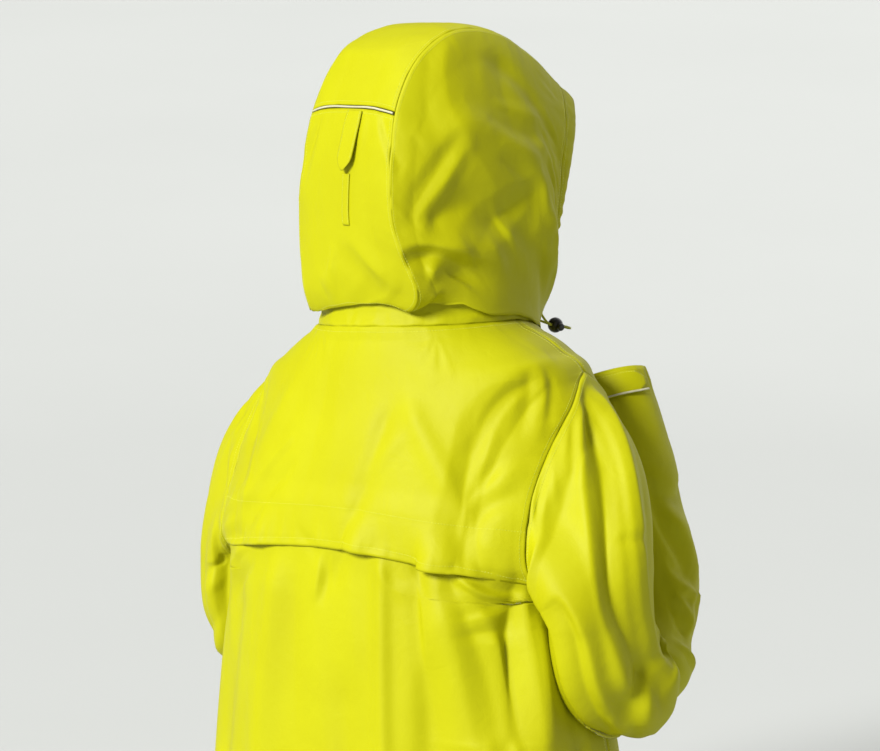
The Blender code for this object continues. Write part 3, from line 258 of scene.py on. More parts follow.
# Arches of the hood, from the face, step 0, back over the crown and down to the nape. Each runs from
# its foot on the collar up over its top. bow draws the sides back, and seam is where the centre meets
# the side panels, in degrees round the arch from the foot.
Arch = namedtuple("Arch", "step top_y top_z foot half_width bow seam")
HOOD = (
    Arch(0.0, -0.200, 0.258, 150.0, 0.101, 0.028, 68.0),
    Arch(1.0, -0.156, 0.284, 144.0, 0.110, 0.020, 69.0),
    Arch(2.0, -0.104, 0.312, 134.0, 0.118, 0.010, 70.0),
    Arch(3.0, -0.050, 0.334, 122.0, 0.122, 0.000, 70.0),
    Arch(4.0, 0.010, 0.334, 109.0, 0.122, 0.000, 69.0),
    Arch(5.0, 0.062, 0.306, 97.0, 0.118, 0.000, 67.0),
    Arch(6.0, 0.096, 0.250, 86.0, 0.112, 0.000, 63.0),
    Arch(7.0, 0.111, 0.190, 75.0, 0.105, 0.000, 55.0),
    Arch(8.0, 0.115, 0.130, 63.0, 0.097, 0.000, 44.0),
    Arch(9.0, 0.112, 0.070, 51.0, 0.088, 0.000, 30.0),
    Arch(10.0, 0.101, 0.020, 39.0, 0.074, 0.000, 0.0),
)
HOOD_ROUNDNESS = 3.0
HOOD_FOOT_FLARE = 0.25
HOOD_FOOT_TURN = 9.0
BOW_LOW = 0.7
NAPE_BLEND = 1.2
SEAM_RIDGE = 0.006
SEAM_RIDGE_WIDTH = 14.0
CHIN_KICK = 0.016
CHIN_KICK_HEIGHT = 0.13
CHIN_KICK_REACH = 0.14
CHIN_KICK_STEPS = 2.5
CHIN_KICK_FOOT = 0.05
GATHER_TOP = 0.17

# Hood folds, in steps and degrees round the arch.
HOOD_STEP = 0.045
HOOD_RADIUS = 0.17
HoodFold = namedtuple("HoodFold", "step turn to_step to_turn width height")
HOOD_FOLDS = (
    HoodFold(1.2, 12, 4.6, 34, 0.016, 0.006),
    HoodFold(2.4, 4, 6.4, 22, 0.014, -0.006),
    HoodFold(1.0, 34, 3.0, 52, 0.014, -0.004),
    HoodFold(5.0, 6, 8.0, 16, 0.012, 0.006),
    HoodFold(1.2, 168, 4.6, 146, 0.016, 0.006),
    HoodFold(2.4, 176, 6.4, 158, 0.014, -0.006),
    HoodFold(5.0, 174, 8.0, 164, 0.012, 0.006),
)

# Trims
PIPING_ROOM = 0.034
PIPING_PROUD = 0.0006
PIPING_SET_IN = 1.2
TAB_START = 0.075
TAB_STEPS = 1.10
TAB_HALF = 0.012
TAB_MIDDLE_X = -0.010
TAB_WALL = 0.0016
TAB_LIFT = 0.0006
TAB_STAND = 0.007
TAB_EDGE = 0.0006
TAB_EDGE_REACH = 0.0008
TAPE_TOP_STEP = 7.30
TAPE_END_STEP = 8.25
TAPE_HALF = 0.0055
TAPE_WALL = 0.0010
CUFF_TAB_START = -118.0
CUFF_TAB_END = -22.0
CUFF_TAB_HALF = 0.0145
CUFF_TAB_MIDDLE = 0.0205
CUFF_TAB_LIFT = 0.0009
CUFF_TAB_STAND = 0.0030
CUFF_TRIM = 0.16
CUFF_TRIM_INSET = 0.04
CUFF_TRIM_WALL = 0.0008
CUFF_TRIM_LIFT = 0.0007
# The edges of the tab at even steps round the cuff, in halves of its width. The reflective edge's sizes
# are in the same halves.
TAB_LOW_EDGE = (-1.0, -1.0, -1.0, -1.0, -1.0, -1.0, -0.92, -0.30)
TAB_HIGH_EDGE = (1.0, 1.0, 1.0, 1.0, 1.0, 1.0, 0.92, 0.30)

# Where the slider stands on the collar, which ends the zip's chain
SLIDER_HEIGHT = 0.026
SLIDER_LONG = 0.0065

# The drawcord and its ball lock. The two strands go through the lock side by side along its button's axis.
CORD_DIAMETER = 0.003
STRAND_APART = 0.0036
LOCK_RADIUS = 0.009
LOCK_SLOT = 0.0039
LOCK_SLOT_HALF = 0.00375
BUTTON_RADIUS = 0.0044
BUTTON_CLEARANCE = 0.0003
BUTTON_STROKE = 0.0025
BUTTON_HEAD = 0.0036
BUTTON_ROUND = 0.0016
LOCK_SOFT = 0.00035
BUTTON_HOLE_LOW = -0.0036
BUTTON_HOLE_HIGH = 0.0064
BUTTON_FLOOR = 0.0012
CORD_EXIT_STEP = 0.31
CORD_EXIT_GAP = 0.0010
CORD_LOOP = 0.014
CORD_LOOP_SHOULDER = 0.8
CORD_LOOP_HALF = 0.0040
CORD_SPACING = 1.5 * CORD_DIAMETER

# For each side: the lock's middle, the way its cord goes through it, the way its button points, and the
# turns round the hood's arch at which the two strands leave the casing.
Lock = namedtuple("Lock", "side middle along button exits")
LOCKS = (
    Lock("right", (-0.0842, -0.1600, -0.0143), (-0.26, -0.94, -0.21), (-0.945, 0.280, -0.169), (1.6, 0.35)),
    Lock("left", (0.0800, -0.1560, -0.0440), (0.05, -0.30, -1.00), (0.945, -0.280, 0.100), (178.4, 179.65)),
)

# Creases of the cloth: from one place on a piece to another, the width and height in millimetres, how much
# wider one side is than the other, and how far the crease bows aside in millimetres. They lie at degrees
# round the body and metres up it, at rows and degrees of a sleeve, and at steps and degrees of the hood.
Crease = namedtuple("Crease", "u v to_u to_v width height lean bow")
CREASE_TIP = 0.14
CREASE_REACH = 1.9
CREASE_FOOT = 0.18
CREASE_GAIN = 1.35
FAN_GAIN = 0.6
MM = 0.001
BODY_CREASES = (
    Crease(-64.5, -0.095, -51.0, -0.260, 4, 1, 1, -24),
    Crease(28.0, -0.119, 0.0, -0.244, 13, 1.8, 1.4, 15),
    Crease(-23.0, -0.037, -21.0, -0.195, 18, -1.4, 1, -10),
    Crease(82.5, -0.043, 52.5, -0.116, 12, 3.6, 1.7, 18),
    Crease(70.5, -0.065, 54.0, -0.127, 8, -3.4, 1.2, 10),
    Crease(53.5, -0.114, 46.5, -0.241, 15, -5, 0.8, -2),
    Crease(59.5, -0.118, 55.0, -0.183, 7, 2.4, 1, 2),
    Crease(54.5, -0.183, 65.5, -0.151, 6, 2.6, 1.2, -1),
    Crease(56.0, -0.199, 66.0, -0.177, 6, -2.2, 1, -3),
    Crease(72.5, -0.057, 68.5, -0.113, 5, -1.8, 1.2, -1),
    Crease(76.5, -0.056, 72.5, -0.119, 5, 2, 1.2, -4),
    Crease(79.5, -0.062, 76.0, -0.105, 5, -1.6, 1.2, -3),
    Crease(-19.5, -0.227, -9.0, -0.253, 6, -1.2, 1, 0),
    Crease(-19.5, -0.277, -15.5, -0.472, 20, -3, 1, 5),
    Crease(-40.5, -0.287, -36.0, -0.485, 16, 2.2, 1.2, 1),
    Crease(-63.0, -0.333, -58.5, -0.503, 10, -2, 1, -5),
    Crease(8.5, -0.296, 10.0, -0.463, 22, 2, 1, -8),
    Crease(-8.0, -0.257, -9.5, -0.298, 5, 2, 1.5, -2),
    Crease(-4.5, -0.257, -5.5, -0.301, 5, -1.8, 1, -2),
    Crease(33.5, -0.260, 41.0, -0.355, 8, 2, 1.2, -9),
    Crease(41.5, -0.259, 53.5, -0.448, 30, 12, 1, 2),
    Crease(65.5, -0.282, 65.0, -0.445, 17, -19, 2.6, 4),
    Crease(46.5, -0.260, 57.5, -0.445, 9, -6, 0.8, -5),
    Crease(48.5, -0.258, 65.0, -0.286, 6, 4, 1.5, 7),
    Crease(49.5, -0.272, 64.5, -0.294, 5, -3.6, 1.2, 5),
    Crease(51.0, -0.309, 67.0, -0.294, 6, 2.5, 1.4, -2),
    Crease(51.0, -0.324, 66.0, -0.306, 6, -2, 1.2, 0),
    Crease(72.0, -0.320, 72.0, -0.448, 13, 10, 1, 2),
    Crease(22.5, -0.262, 32.5, -0.284, 6, 1.6, 1, 5),
    Crease(-34, -0.13, -52, -0.22, 8, 3, 1.3, 6),
    Crease(-30, -0.16, -46, -0.235, 8, -2.5, 1.2, 4),
    Crease(-66, -0.07, -62, -0.14, 6, -2.4, 1.2, -4),
    Crease(-72, -0.07, -69, -0.13, 5, 2.4, 1.2, -4),
    Crease(-48, -0.26, -60, -0.3, 7, 3, 1.4, 5),
    Crease(-44, -0.28, -58, -0.33, 7, -3, 1.2, 4),
    Crease(-60, -0.52, -64, -0.74, 12, 4, 1.2, 3),
    Crease(-20, -0.5, -24, -0.74, 16, -3.5, 1.2, 4),
    Crease(20, -0.5, 26, -0.74, 14, 3.5, 1.2, -4),
    Crease(56, -0.45, 66, -0.74, 9, 5, 1.7, 4),
    Crease(60, -0.45, 70, -0.74, 9, -6, 1.4, 4),
    Crease(36, -0.47, 40, -0.74, 14, -3.5, 1.2, 5),
    Crease(84, -0.46, 86, -0.74, 11, -4.5, 1.2, 2),
    Crease(2, -0.48, 0, -0.74, 18, 3, 1, -5),
    Crease(112, -0.09, 122, -0.2, 8, 3.5, 1.4, 7),
    Crease(118, -0.08, 130, -0.17, 8, -3.5, 1.3, 6),
    Crease(108, -0.13, 112, -0.22, 6, -2.8, 1.2, 3),
    Crease(-112, -0.1, -124, -0.2, 8, 3.5, 1.4, -7),
    Crease(-119, -0.09, -131, -0.17, 8, -3.5, 1.3, -6),
    Crease(-107, -0.14, -111, -0.22, 6, -2.8, 1.2, -3),
    Crease(146, -0.16, 132, -0.27, 10, 3.5, 1.3, 6),
    Crease(-148, -0.16, -136, -0.27, 10, 3.2, 1.3, -6),
    Crease(108, -0.3, 128, -0.33, 7, 3.2, 1.3, 5),
    Crease(106, -0.32, 126, -0.36, 7, -3.2, 1.3, 5),
    Crease(-108, -0.3, -126, -0.34, 7, 3.2, 1.3, -5),
    Crease(-106, -0.32, -124, -0.37, 7, -3.2, 1.3, -5),
    Crease(134, -0.38, 138, -0.72, 13, 4.5, 1.3, 6),
    Crease(154, -0.34, 158, -0.72, 12, -4, 1.3, 5),
    Crease(114, -0.42, 116, -0.72, 10, -4.5, 1.3, 4),
    Crease(-132, -0.4, -137, -0.72, 13, 4.5, 1.3, -6),
    Crease(-156, -0.36, -159, -0.72, 12, -4, 1.3, -5),
    Crease(-114, -0.4, -117, -0.72, 10, -4.5, 1.3, -4),
    Crease(166, -0.2, 160, -0.3, 9, 2.5, 1.2, 4),
    Crease(-166, -0.24, -161, -0.34, 9, 2.5, 1.2, -4),
    Crease(164, -0.46, 150, -0.52, 8, 3, 1.3, 5),
    Crease(-164, -0.5, -150, -0.56, 8, 3, 1.3, -5),
)
RIGHT_CREASES = (
    Crease(1.05, 9, 12.05, -9, 12, 4, 1, -19),
    Crease(0.67, 16, 10.14, 18, 24, -20, 2, -36),
    Crease(1.43, 1, 11.96, -18, 11, 7, 1, -16),
    Crease(0.00, 23, 1.43, 45, 6, -3, 1.2, -5),
    Crease(0.00, 34, 1.24, 53, 6, 2.6, 1.2, -3),
    Crease(0.29, 23, 2.20, 47, 6, 3, 1.3, -3),
    Crease(0.00, 51, 1.72, 70, 7, 2.4, 1.3, -5),
    Crease(0.00, 66, 1.34, 93, 6, -2.4, 1.2, -5),
    Crease(5.26, 30, 6.12, -6, 4, -2, 1, -1),
    Crease(1.15, 109, 10.81, 100, 12, 10, 1.8, -24),
    Crease(6.03, 104, 10.90, 85, 11, -10, 0.62, -1),
    Crease(10.14, 11, 11.10, 47, 7, 4.5, 1.3, 0),
    Crease(9.85, 30, 10.71, 55, 7, -3.5, 1, 3),
    Crease(10.62, 81, 11.10, 74, 6, 3, 1, 2),
    Crease(2.77, 124, 0.00, 132, 4, 3, 1, 4),
    Crease(19.13, -58, 19.13, 13, 6, 4.5, 1.8, -6),
    Crease(18.65, -56, 18.75, 16, 9, -7, 1.2, -4),
    Crease(18.37, -56, 16.83, -9, 8, -6.5, 1.6, -3),
    Crease(18.37, -39, 17.22, 13, 8, 3.5, 1.3, 1),
    Crease(16.74, -46, 16.26, 10, 5, 4.5, 1.5, -5),
    Crease(17.03, -42, 16.55, 14, 4, -3.5, 1.2, -4),
    Crease(16.36, -44, 15.30, -11, 5, 4, 1.4, -3),
    Crease(15.88, -52, 14.83, -22, 5, -3.5, 1.2, -7),
    Crease(15.21, -42, 15.21, -9, 4, 3, 1.3, -3),
    Crease(14.06, -31, 14.25, 14, 5, 4, 1.4, 0),
    Crease(14.35, -39, 14.73, 16, 5, -3.5, 1.2, -4),
    Crease(20.66, -91, 20.37, -48, 6, 1.6, 1.2, -5),
    Crease(1.78, -60, 7.11, -50, 9, 3.5, 1.3, 8),
    Crease(2.67, -85, 8, -78, 9, -4, 1.3, 6),
    Crease(9.5, -40, 11, -120, 7, 4, 1.4, 8),
    Crease(10.6, -30, 12, -130, 7, -5, 1.3, 8),
    Crease(12.2, -40, 12.79, -140, 6, 4, 1.4, 6),
    Crease(13.5, -110, 15, -160, 6, -3.5, 1.2, 4),
    Crease(16, -100, 17.2, -160, 6, 3.5, 1.3, 4),
    Crease(18, -90, 19.2, -150, 6, -3, 1.2, 4),
    Crease(12.4, 60, 13.6, 120, 7, 4, 1.4, 5),
    Crease(14.2, 50, 14.8, 120, 6, -3.5, 1.2, 4),
    Crease(16.6, 40, 17.4, 110, 6, 3.5, 1.3, 4),
    Crease(18.6, 50, 19.4, 120, 6, -3, 1.2, 4),
    Crease(2.22, 150, 5.33, 165, 7, -3, 1.2, 5),
    Crease(11.39, 60, 12.2, 150, 7, -5, 1.3, 6),
    Crease(20.6, 60, 21.2, 130, 5, 2, 1.2, 2),
)
LEFT_CREASES = (
    Crease(6.50, 118, 8.32, 91, 5, -2.5, 1.2, -13),
    Crease(8.51, 116, 8.90, 89, 5, 2.5, 1.2, -2),
    Crease(9.37, 113, 10.14, 61, 5, -2.5, 1.2, -2),
    Crease(10.14, 105, 10.71, 69, 5, 2.5, 1.2, -2),
    Crease(0.89, 20, 11, 10, 11, 4, 1.4, -10),
    Crease(0.89, 30, 9, 34, 9, -5, 1.4, -14),
    Crease(0.18, 30, 1.33, 46, 5, -3, 1.2, -1),
    Crease(0.18, 60, 1.42, 72, 6, 2.6, 1.3, -3),
    Crease(1.78, -60, 7.11, -50, 9, 3.5, 1.3, 8),
    Crease(2.67, -85, 8, -78, 9, -4, 1.3, 6),
    Crease(10.5, -40, 11.61, -120, 7, 4, 1.4, 8),
    Crease(11.61, -30, 12.79, -130, 7, -5, 1.3, 8),
    Crease(13.2, -20, 14, -110, 6, 4, 1.4, 6),
    Crease(11, 10, 11.8, 90, 7, 4, 1.5, 6),
    Crease(12.2, 0, 13, 100, 7, -5, 1.3, 6),
    Crease(14, -10, 14.8, 80, 6, 3.5, 1.4, 4),
    Crease(15.59, -30, 16.4, 60, 6, -3.2, 1.2, 4),
    Crease(17.2, 10, 17.8, 90, 6, 3.2, 1.3, 3),
    Crease(18.8, -40, 19.6, 40, 6, -3, 1.2, 3),
    Crease(20.4, 30, 21, 110, 5, 2.2, 1.2, 2),
    Crease(4.44, 100, 9.6, 106, 8, 4, 1.4, -6),
    Crease(5.33, 125, 9.8, 118, 7, -4, 1.3, -4),
)
HOOD_CREASES = (
    Crease(6.07, 73.9, 6.67, 51.8, 7, -3.2, 1.4, -2),
    Crease(8.57, 86.9, 9.33, 51.0, 9, 2.6, 1.4, -8),
    Crease(8.83, 92.6, 9.47, 62.7, 8, -1.6, 1.2, -14),
    Crease(4.20, 65.5, 4.10, 14.7, 17, 4, 1.2, -33),
    Crease(4.93, 28.9, 6.93, 29.9, 9, 3.2, 1, 7),
    Crease(5.23, 31.6, 7.10, 35.4, 10, -3, 1, 5),
    Crease(2.57, 17.4, 5.80, 8.2, 10, -6.5, 1.4, 6),
    Crease(3.10, 12.9, 5.43, 7.0, 7, 3, 1.3, 8),
    Crease(8.20, 38.6, 4.03, 4.7, 8, 4.6, 1.8, -35),
    Crease(8.47, 36.8, 3.93, 3.0, 9, -5, 0.8, -41),
    Crease(7.30, 7.5, 5.97, 1.0, 5, -2.6, 1.4, -4),
    Crease(6.40, 5.5, 4.67, 1.0, 6, 2.2, 1.2, -3),
    Crease(4.77, 111.3, 4.90, 77.9, 10, 2.6, 1.2, -9),
    Crease(5.87, 49.8, 5.40, 34.9, 6, 1.6, 1.3, -5),
    Crease(3.53, 37.8, 1.60, 42.1, 5, 1.8, 1.2, -9),
    Crease(3.87, 33.1, 1.90, 34.6, 5, -1.8, 1.2, -11),
    Crease(3.67, 26.9, 1.93, 27.9, 5, 2, 1.2, -7),
    Crease(3.80, 22.2, 2.60, 20.4, 5, -2, 1.2, -4),
    Crease(4.27, 11.5, 3.63, 5.2, 6, 2.4, 1.2, -2),
    Crease(3.03, 56.0, 3.23, 27.6, 16, -2.4, 1.2, -7),
    Crease(4.8, 150, 6.9, 147, 7, 4.5, 1.5, -6),
    Crease(4.7, 154, 6.8, 155, 7, -4, 1.2, -8),
    Crease(2.6, 162, 5.6, 171, 11, -6.5, 1.3, -7),
    Crease(3, 166, 5.4, 172, 8, 3.5, 1.3, -8),
    Crease(8, 142, 4, 175, 7, 4.5, 1.6, 33),
    Crease(8.3, 146, 4.2, 177, 7, -4.5, 1.2, 35),
    Crease(3.5, 141, 1.6, 138, 6, 2.4, 1.2, 10),
    Crease(3.9, 145, 1.9, 145, 6, -2.4, 1.2, 12),
    Crease(3.9, 157, 2.6, 160, 6, -2.6, 1.2, 4),
    Crease(5.9, 130, 5.4, 146, 6, 3, 1.3, 4),
    Crease(6.6, 145, 7.8, 147, 8, -2.5, 1.2, -5),
    Crease(4.4, 168, 3.6, 174, 6, 3, 1.2, 0),
    Crease(6.3, 108, 6.9, 122, 7, -3, 1.3, 2),
    Crease(8.7, 96, 9.3, 118, 6, 2.6, 1.4, 8),
    Crease(1.4, 80, 1.8, 104, 8, 2, 1.2, 5),
)
# The flap's free edge: where it is tacked down, and where and how far it gapes, in millimetres. Places are
# from -1 at the left armhole to 1 at the right one.
FLAP_HEM = 0.012
FLAP_TACKS = ((-0.08, 0.05), (0.36, 0.05))
FLAP_GAPES = ((-0.50, 0.09, 9.0), (0.13, 0.11, 10.0), (0.58, 0.13, 15.0))

ZIP_PITCH = 0.0032
TOOTH_HALF = 0.0009
WEAVE = 190.0

# Fans of small creases that spread from a place where the cloth is held or bent: the middle's direction
# and their spread in degrees, how many, and their length, width and height in millimetres.
Fan = namedtuple("Fan", "u v turn spread count length width height")
BODY_FANS = (
    Fan(-69, -0.262, 0, 110, 8, 90, 4.0, 2.4),
    Fan(123, -0.262, 0, 120, 8, 95, 4.0, 2.6),
    Fan(-123, -0.262, 180, 120, 8, 95, 4.0, 2.6),
    Fan(78, -0.062, 235, 70, 6, 60, 3.5, 1.8),
    Fan(-78, -0.062, 305, 70, 6, 60, 3.5, 1.8),
    Fan(118, -0.075, 290, 70, 6, 60, 3.5, 1.8),
    Fan(-118, -0.075, 250, 70, 6, 60, 3.5, 1.8),
    Fan(44, -0.006, 245, 90, 6, 55, 3.5, 1.3),
    Fan(-40, -0.006, 295, 90, 6, 55, 3.5, 1.3),
    Fan(90, -0.300, 270, 120, 6, 80, 4.0, 2.2),
    Fan(-90, -0.300, 270, 120, 6, 80, 4.0, 2.2),
    Fan(174, -0.100, 180, 100, 5, 50, 3.5, 1.4),
    Fan(174, -0.330, 180, 100, 5, 55, 3.5, 1.4),
    Fan(174, -0.560, 180, 100, 5, 55, 3.5, 1.4),
    Fan(-174, -0.200, 0, 100, 5, 50, 3.5, 1.4),
    Fan(-174, -0.440, 0, 100, 5, 55, 3.5, 1.4),
    Fan(-174, -0.640, 0, 100, 5, 55, 3.5, 1.4),
)
RIGHT_FANS = (
    Fan(0.27, 8, 0, 90, 8, 60, 3.5, 1.8),
    Fan(0.36, 62, 0, 80, 6, 70, 3.5, 1.2),
    Fan(0.53, 112, 0, 80, 6, 90, 4.0, 1.2),
    Fan(0.53, -112, 0, 80, 6, 90, 4.5, 2.6),
    Fan(11.39, -58, 20, 360, 11, 85, 4.5, 3.2),
    Fan(16.6, -10, 180, 200, 7, 60, 4.0, 2.2),
    Fan(21.6, 20, 180, 80, 5, 45, 3.0, 1.4),
    Fan(21.6, -70, 180, 80, 5, 45, 3.0, 1.4),
    Fan(21.6, 110, 180, 80, 5, 45, 3.0, 1.4),
)
LEFT_FANS = (
    Fan(0.27, 8, 0, 90, 8, 60, 3.5, 1.8),
    Fan(0.36, 62, 0, 80, 6, 70, 3.5, 1.2),
    Fan(0.53, 112, 0, 80, 6, 100, 4.5, 2.6),
    Fan(0.53, -112, 0, 80, 6, 90, 4.5, 2.6),
    Fan(11.8, -64, 30, 360, 11, 80, 4.5, 3.0),
    Fan(11.61, 60, 0, 360, 9, 75, 4.5, 2.6),
    Fan(16, 14, 180, 200, 7, 60, 4.0, 2.2),
    Fan(21.6, 20, 180, 80, 5, 45, 3.0, 1.4),
    Fan(21.6, -70, 180, 80, 5, 45, 3.0, 1.4),
)
HOOD_FANS = (
    Fan(0.66, 9, 10, 80, 7, 80, 3.5, 2.2),
    Fan(0.66, 19, 0, 80, 7, 90, 3.5, 2.4),
    Fan(0.66, 33, 0, 70, 6, 75, 3.5, 2.0),
    Fan(0.66, 52, 0, 60, 5, 60, 3.5, 1.4),
    Fan(0.66, 171, 350, 80, 7, 80, 3.5, 2.2),
    Fan(0.66, 161, 0, 80, 7, 90, 3.5, 2.4),
    Fan(0.66, 147, 0, 70, 6, 75, 3.5, 2.0),
    Fan(5.0, 178, 270, 130, 8, 75, 4.5, 2.8),
    Fan(6.0, 82, 20, 120, 5, 60, 4.5, 1.6),
    Fan(9.6, 96, 180, 120, 6, 50, 4.0, 1.6),
)

# Studio light: each soft lamp's way, strength and spread in degrees; and the floor
SKY = (0.99, 0.94, 0.88)
SKY_STRENGTH = 0.16
LAMPS = (
    ("key", (0.109, 0.886, 0.47), 5.4, 20.0),
    ("overhead", (0.30, 0.15, 1.0), 1.1, 50.0),
    ("front", (-0.10, -0.95, 0.45), 1.2, 70.0),
)
FLOOR_HEIGHT = -0.80
FLOOR_FLAT = 4.5
FLOOR_SLOPE = 0.16
FLOOR_EASE = 4.0
FLOOR_SIDES = 96
FLOOR_RINGS = (2.0, 4.0, 4.5, 5.0, 5.5, 6.0, 7.0, 8.0, 10.0, 12.0, 15.0, 20.0, 30.0, 45.0)


def ease(value):
    """0 below 0, 1 above 1 and a smooth step between."""
    value = np.clip(value, 0.0, 1.0)
    return value * value * (3.0 - 2.0 * value)


def read(table, column, at):
    """A column of a table at places between its rows, along a smooth curve."""
    places = np.array([row[0] for row in table])
    values = np.array([getattr(row, column) for row in table])
    slopes = np.gradient(values, places)
    at = np.clip(at, places[0], places[-1])
    row = np.clip(np.searchsorted(places, at, side="right") - 1, 0, len(places) - 2)
    span = places[row + 1] - places[row]
    t = (at - places[row]) / span
    start = values[row] * (1 + 2 * t) * (1 - t) ** 2 + slopes[row] * span * t * (1 - t) ** 2
    end = values[row + 1] * t * t * (3 - 2 * t) + slopes[row + 1] * span * t * t * (t - 1)
    return start + end


def unit(vectors):
    return vectors / np.linalg.norm(vectors, axis=-1, keepdims=True)


def bump(across, width):
    return np.exp(-((across / width) ** 2))


def segment_bump(u, v, start, end, width):
    """How strongly a fold from start to end, in metres on the laid-out cloth, shows at u, v."""
    run = np.array(end) - np.array(start)
    length = np.hypot(*run)
    along = ((u - start[0]) * run[0] + (v - start[1]) * run[1]) / length
    across = ((u - start[0]) * run[1] - (v - start[1]) * run[0]) / length
    past = np.maximum(np.maximum(-along, along - length), 0.0)
    return bump(across, width) * bump(past, 1.6 * width)


def ring_radius(level, angle):
    a = np.radians(angle)
    side = np.abs(np.sin(a))
    along = np.cos(a)
    power = read(BODY, "squareness", level)
    depth = np.where(along > 0, read(BODY, "back_depth", level), read(BODY, "front_depth", level))
    across = side / read(BODY, "half_width", level)
    radius = (across**power + (np.abs(along) / depth) ** power) ** (-1 / power)
    dent = bump(np.abs(angle) - ARM_DENT_ANGLE, ARM_DENT_REACH) * bump(level - ARM_DENT_LEVEL, 1.0)
    return radius - ARM_DENT * dent


def body_point(level, angle):
    """A point of the outer face of the jacket's body."""
    level, angle = np.broadcast_arrays(np.asarray(level, float), np.asarray(angle, float))
    a = np.radians(angle)
    share = np.cos(a) ** 2
    side_z = read(BODY, "side_z", level)
    end_z = np.where(np.cos(a) > 0, read(BODY, "back_z", level), read(BODY, "front_z", level))
    z = side_z + (end_z - side_z) * share
    radius = ring_radius(level, angle)
    u = a * FOLD_RADIUS
    for fold in BODY_FOLDS:
        start = (math.radians(fold.angle) * FOLD_RADIUS, fold.z)
        end = (math.radians(fold.to_angle) * FOLD_RADIUS, fold.to_z)
        radius = radius + fold.height * segment_bump(u, z, start, end, fold.width)
    x = -radius * np.sin(a)
    y = radius * np.cos(a)
    high = ease((level - SLOPE_START) / (SHOULDER_POINT - SLOPE_START))
    z = z - RIGHT_SHOULDER_RISE * (x / read(BODY, "half_width", SHOULDER_POINT)) * high
    y = y - SHOULDER_FORWARD * high * ease(np.abs(x) / read(BODY, "half_width", SHOULDER_POINT))
    return np.stack((x, y, z), axis=-1)


def surface_normals(surface, u, v, du, dv):
    """Unit normals of a surface function from points a short way to either side."""
    along = surface(u + du, v) - surface(u - du, v)
    across = surface(u, v + dv) - surface(u, v - dv)
    return unit(np.cross(along, across))


def body_normal(level, angle):
    """The direction straight out of the jacket's body."""
    level, angle = np.broadcast_arrays(np.asarray(level, float), np.asarray(angle, float))
    level = np.clip(level, 0.02, NECK - 0.02)
    return -surface_normals(body_point, level, angle, 0.02, 0.5)


def armhole_edge(level, reach):
    """How far the armhole reaches from the side seam, in degrees, at a level."""
    t = np.clip((level - UNDERARM) / (SHOULDER_POINT - UNDERARM), 0.0, 1.0)
    return reach * (1 - t**ARMHOLE_FULL) ** ARMHOLE_TOP * (1 - (1 - t) ** ARMHOLE_FOOT) ** 0.5


def back_edge(level):
    return SIDE_SEAM - armhole_edge(level, ARMHOLE_BACK)


def front_edge(level):
    return SIDE_SEAM + armhole_edge(level, ARMHOLE_FRONT)


def zip_edge(level, half):
    """The angle, from the middle of the back, of a line a set way to the side of the front's middle."""
    return 180.0 - np.degrees(np.arcsin(half / read(BODY, "front_depth", level)))


def armhole_levels():
    """Rows up the armhole, closer together towards both its ends."""
    steps = np.arange(ARMHOLE_ROWS + 1) / ARMHOLE_ROWS
    return UNDERARM + (SHOULDER_POINT - UNDERARM) * (steps / 2 + (1 - np.cos(math.pi * steps)) / 4)


def back_angles(levels, across):
    """Columns of the back, from -1 at its left edge to 1 at its right one. The armhole moves the ones
    near it more than the ones in the middle."""
    moved = (SIDE_SEAM - back_edge(levels)) * np.abs(across) ** EDGE_SHARE
    return across * SIDE_SEAM - np.sign(across) * moved


def front_angles(levels, share, edge_half):
    """Columns of a front, from 0 at its armhole to 1 at edge_half metres from the middle."""
    last = zip_edge(levels, edge_half)
    moved = (front_edge(levels) - SIDE_SEAM) * (1 - share) ** EDGE_SHARE
    return SIDE_SEAM + (last - SIDE_SEAM) * share + moved


def body_levels():
    torso = np.linspace(0.0, UNDERARM, TORSO_ROWS + 1)
    shoulder = np.linspace(SHOULDER_POINT, NECK, SHOULDER_ROWS + 1)
    return np.concatenate((torso, armhole_levels()[1:], shoulder[1:]))


def flap_edge(across):
    """The level of the flap's free edge, from -1 at the left armhole to 1 at the right one."""
    return FLAP_END + (FLAP_MIDDLE - FLAP_END) * np.cos(across * math.pi / 2) ** FLAP_CURVE


def armhole_loop(side):
    """Levels and angles of the armhole seam, from the shoulder down the back and up the front."""
    down = armhole_levels()[::-1]
    up = armhole_levels()[1:-1]
    levels = np.concatenate((down, up))
    angles = np.concatenate((back_edge(down), front_edge(up)))
    return levels, side * angles


def loop_turns(points):
    """Degrees round the sleeve for each point of the armhole: 0 at the shoulder and 180 at the underarm."""
    sides = np.linalg.norm(np.roll(points, -1, axis=0) - points, axis=1)
    back = np.concatenate(([0.0], np.cumsum(sides[:ARMHOLE_ROWS])))
    front = np.concatenate(([0.0], np.cumsum(sides[ARMHOLE_ROWS:])))
    turns = np.concatenate((180 * back / back[-1], (180 + 180 * front / front[-1])[1:-1]))
    return turns


def arm_frame(table, place, side):
    """The middle of a sleeve's section, the way along it, to its outer side and to the bend's outer side."""
    middle = np.stack([read(table, axis, place) for axis in "xyz"], axis=-1)
    ahead = np.stack([read(table, axis, place + ARM_STEP) for axis in "xyz"], axis=-1)
    behind = np.stack([read(table, axis, place - ARM_STEP) for axis in "xyz"], axis=-1)
    along = unit(ahead - behind)
    outwards = unit(np.array((-side, -ARM_FORWARD, 0.0)))
    bend = unit(np.cross(along, outwards)) * side
    return middle, along, unit(np.cross(bend, along)) * side, bend


def arm_point(table, place, turn, side):
    middle, _, outwards, bend = arm_frame(table, place, side)
    a = np.radians(turn)
    thick = read(table, "thick", place)
    wide = read(table, "wide", place)
    return middle + outwards * (wide * np.cos(a))[..., None] + bend * (thick * np.sin(a))[..., None]


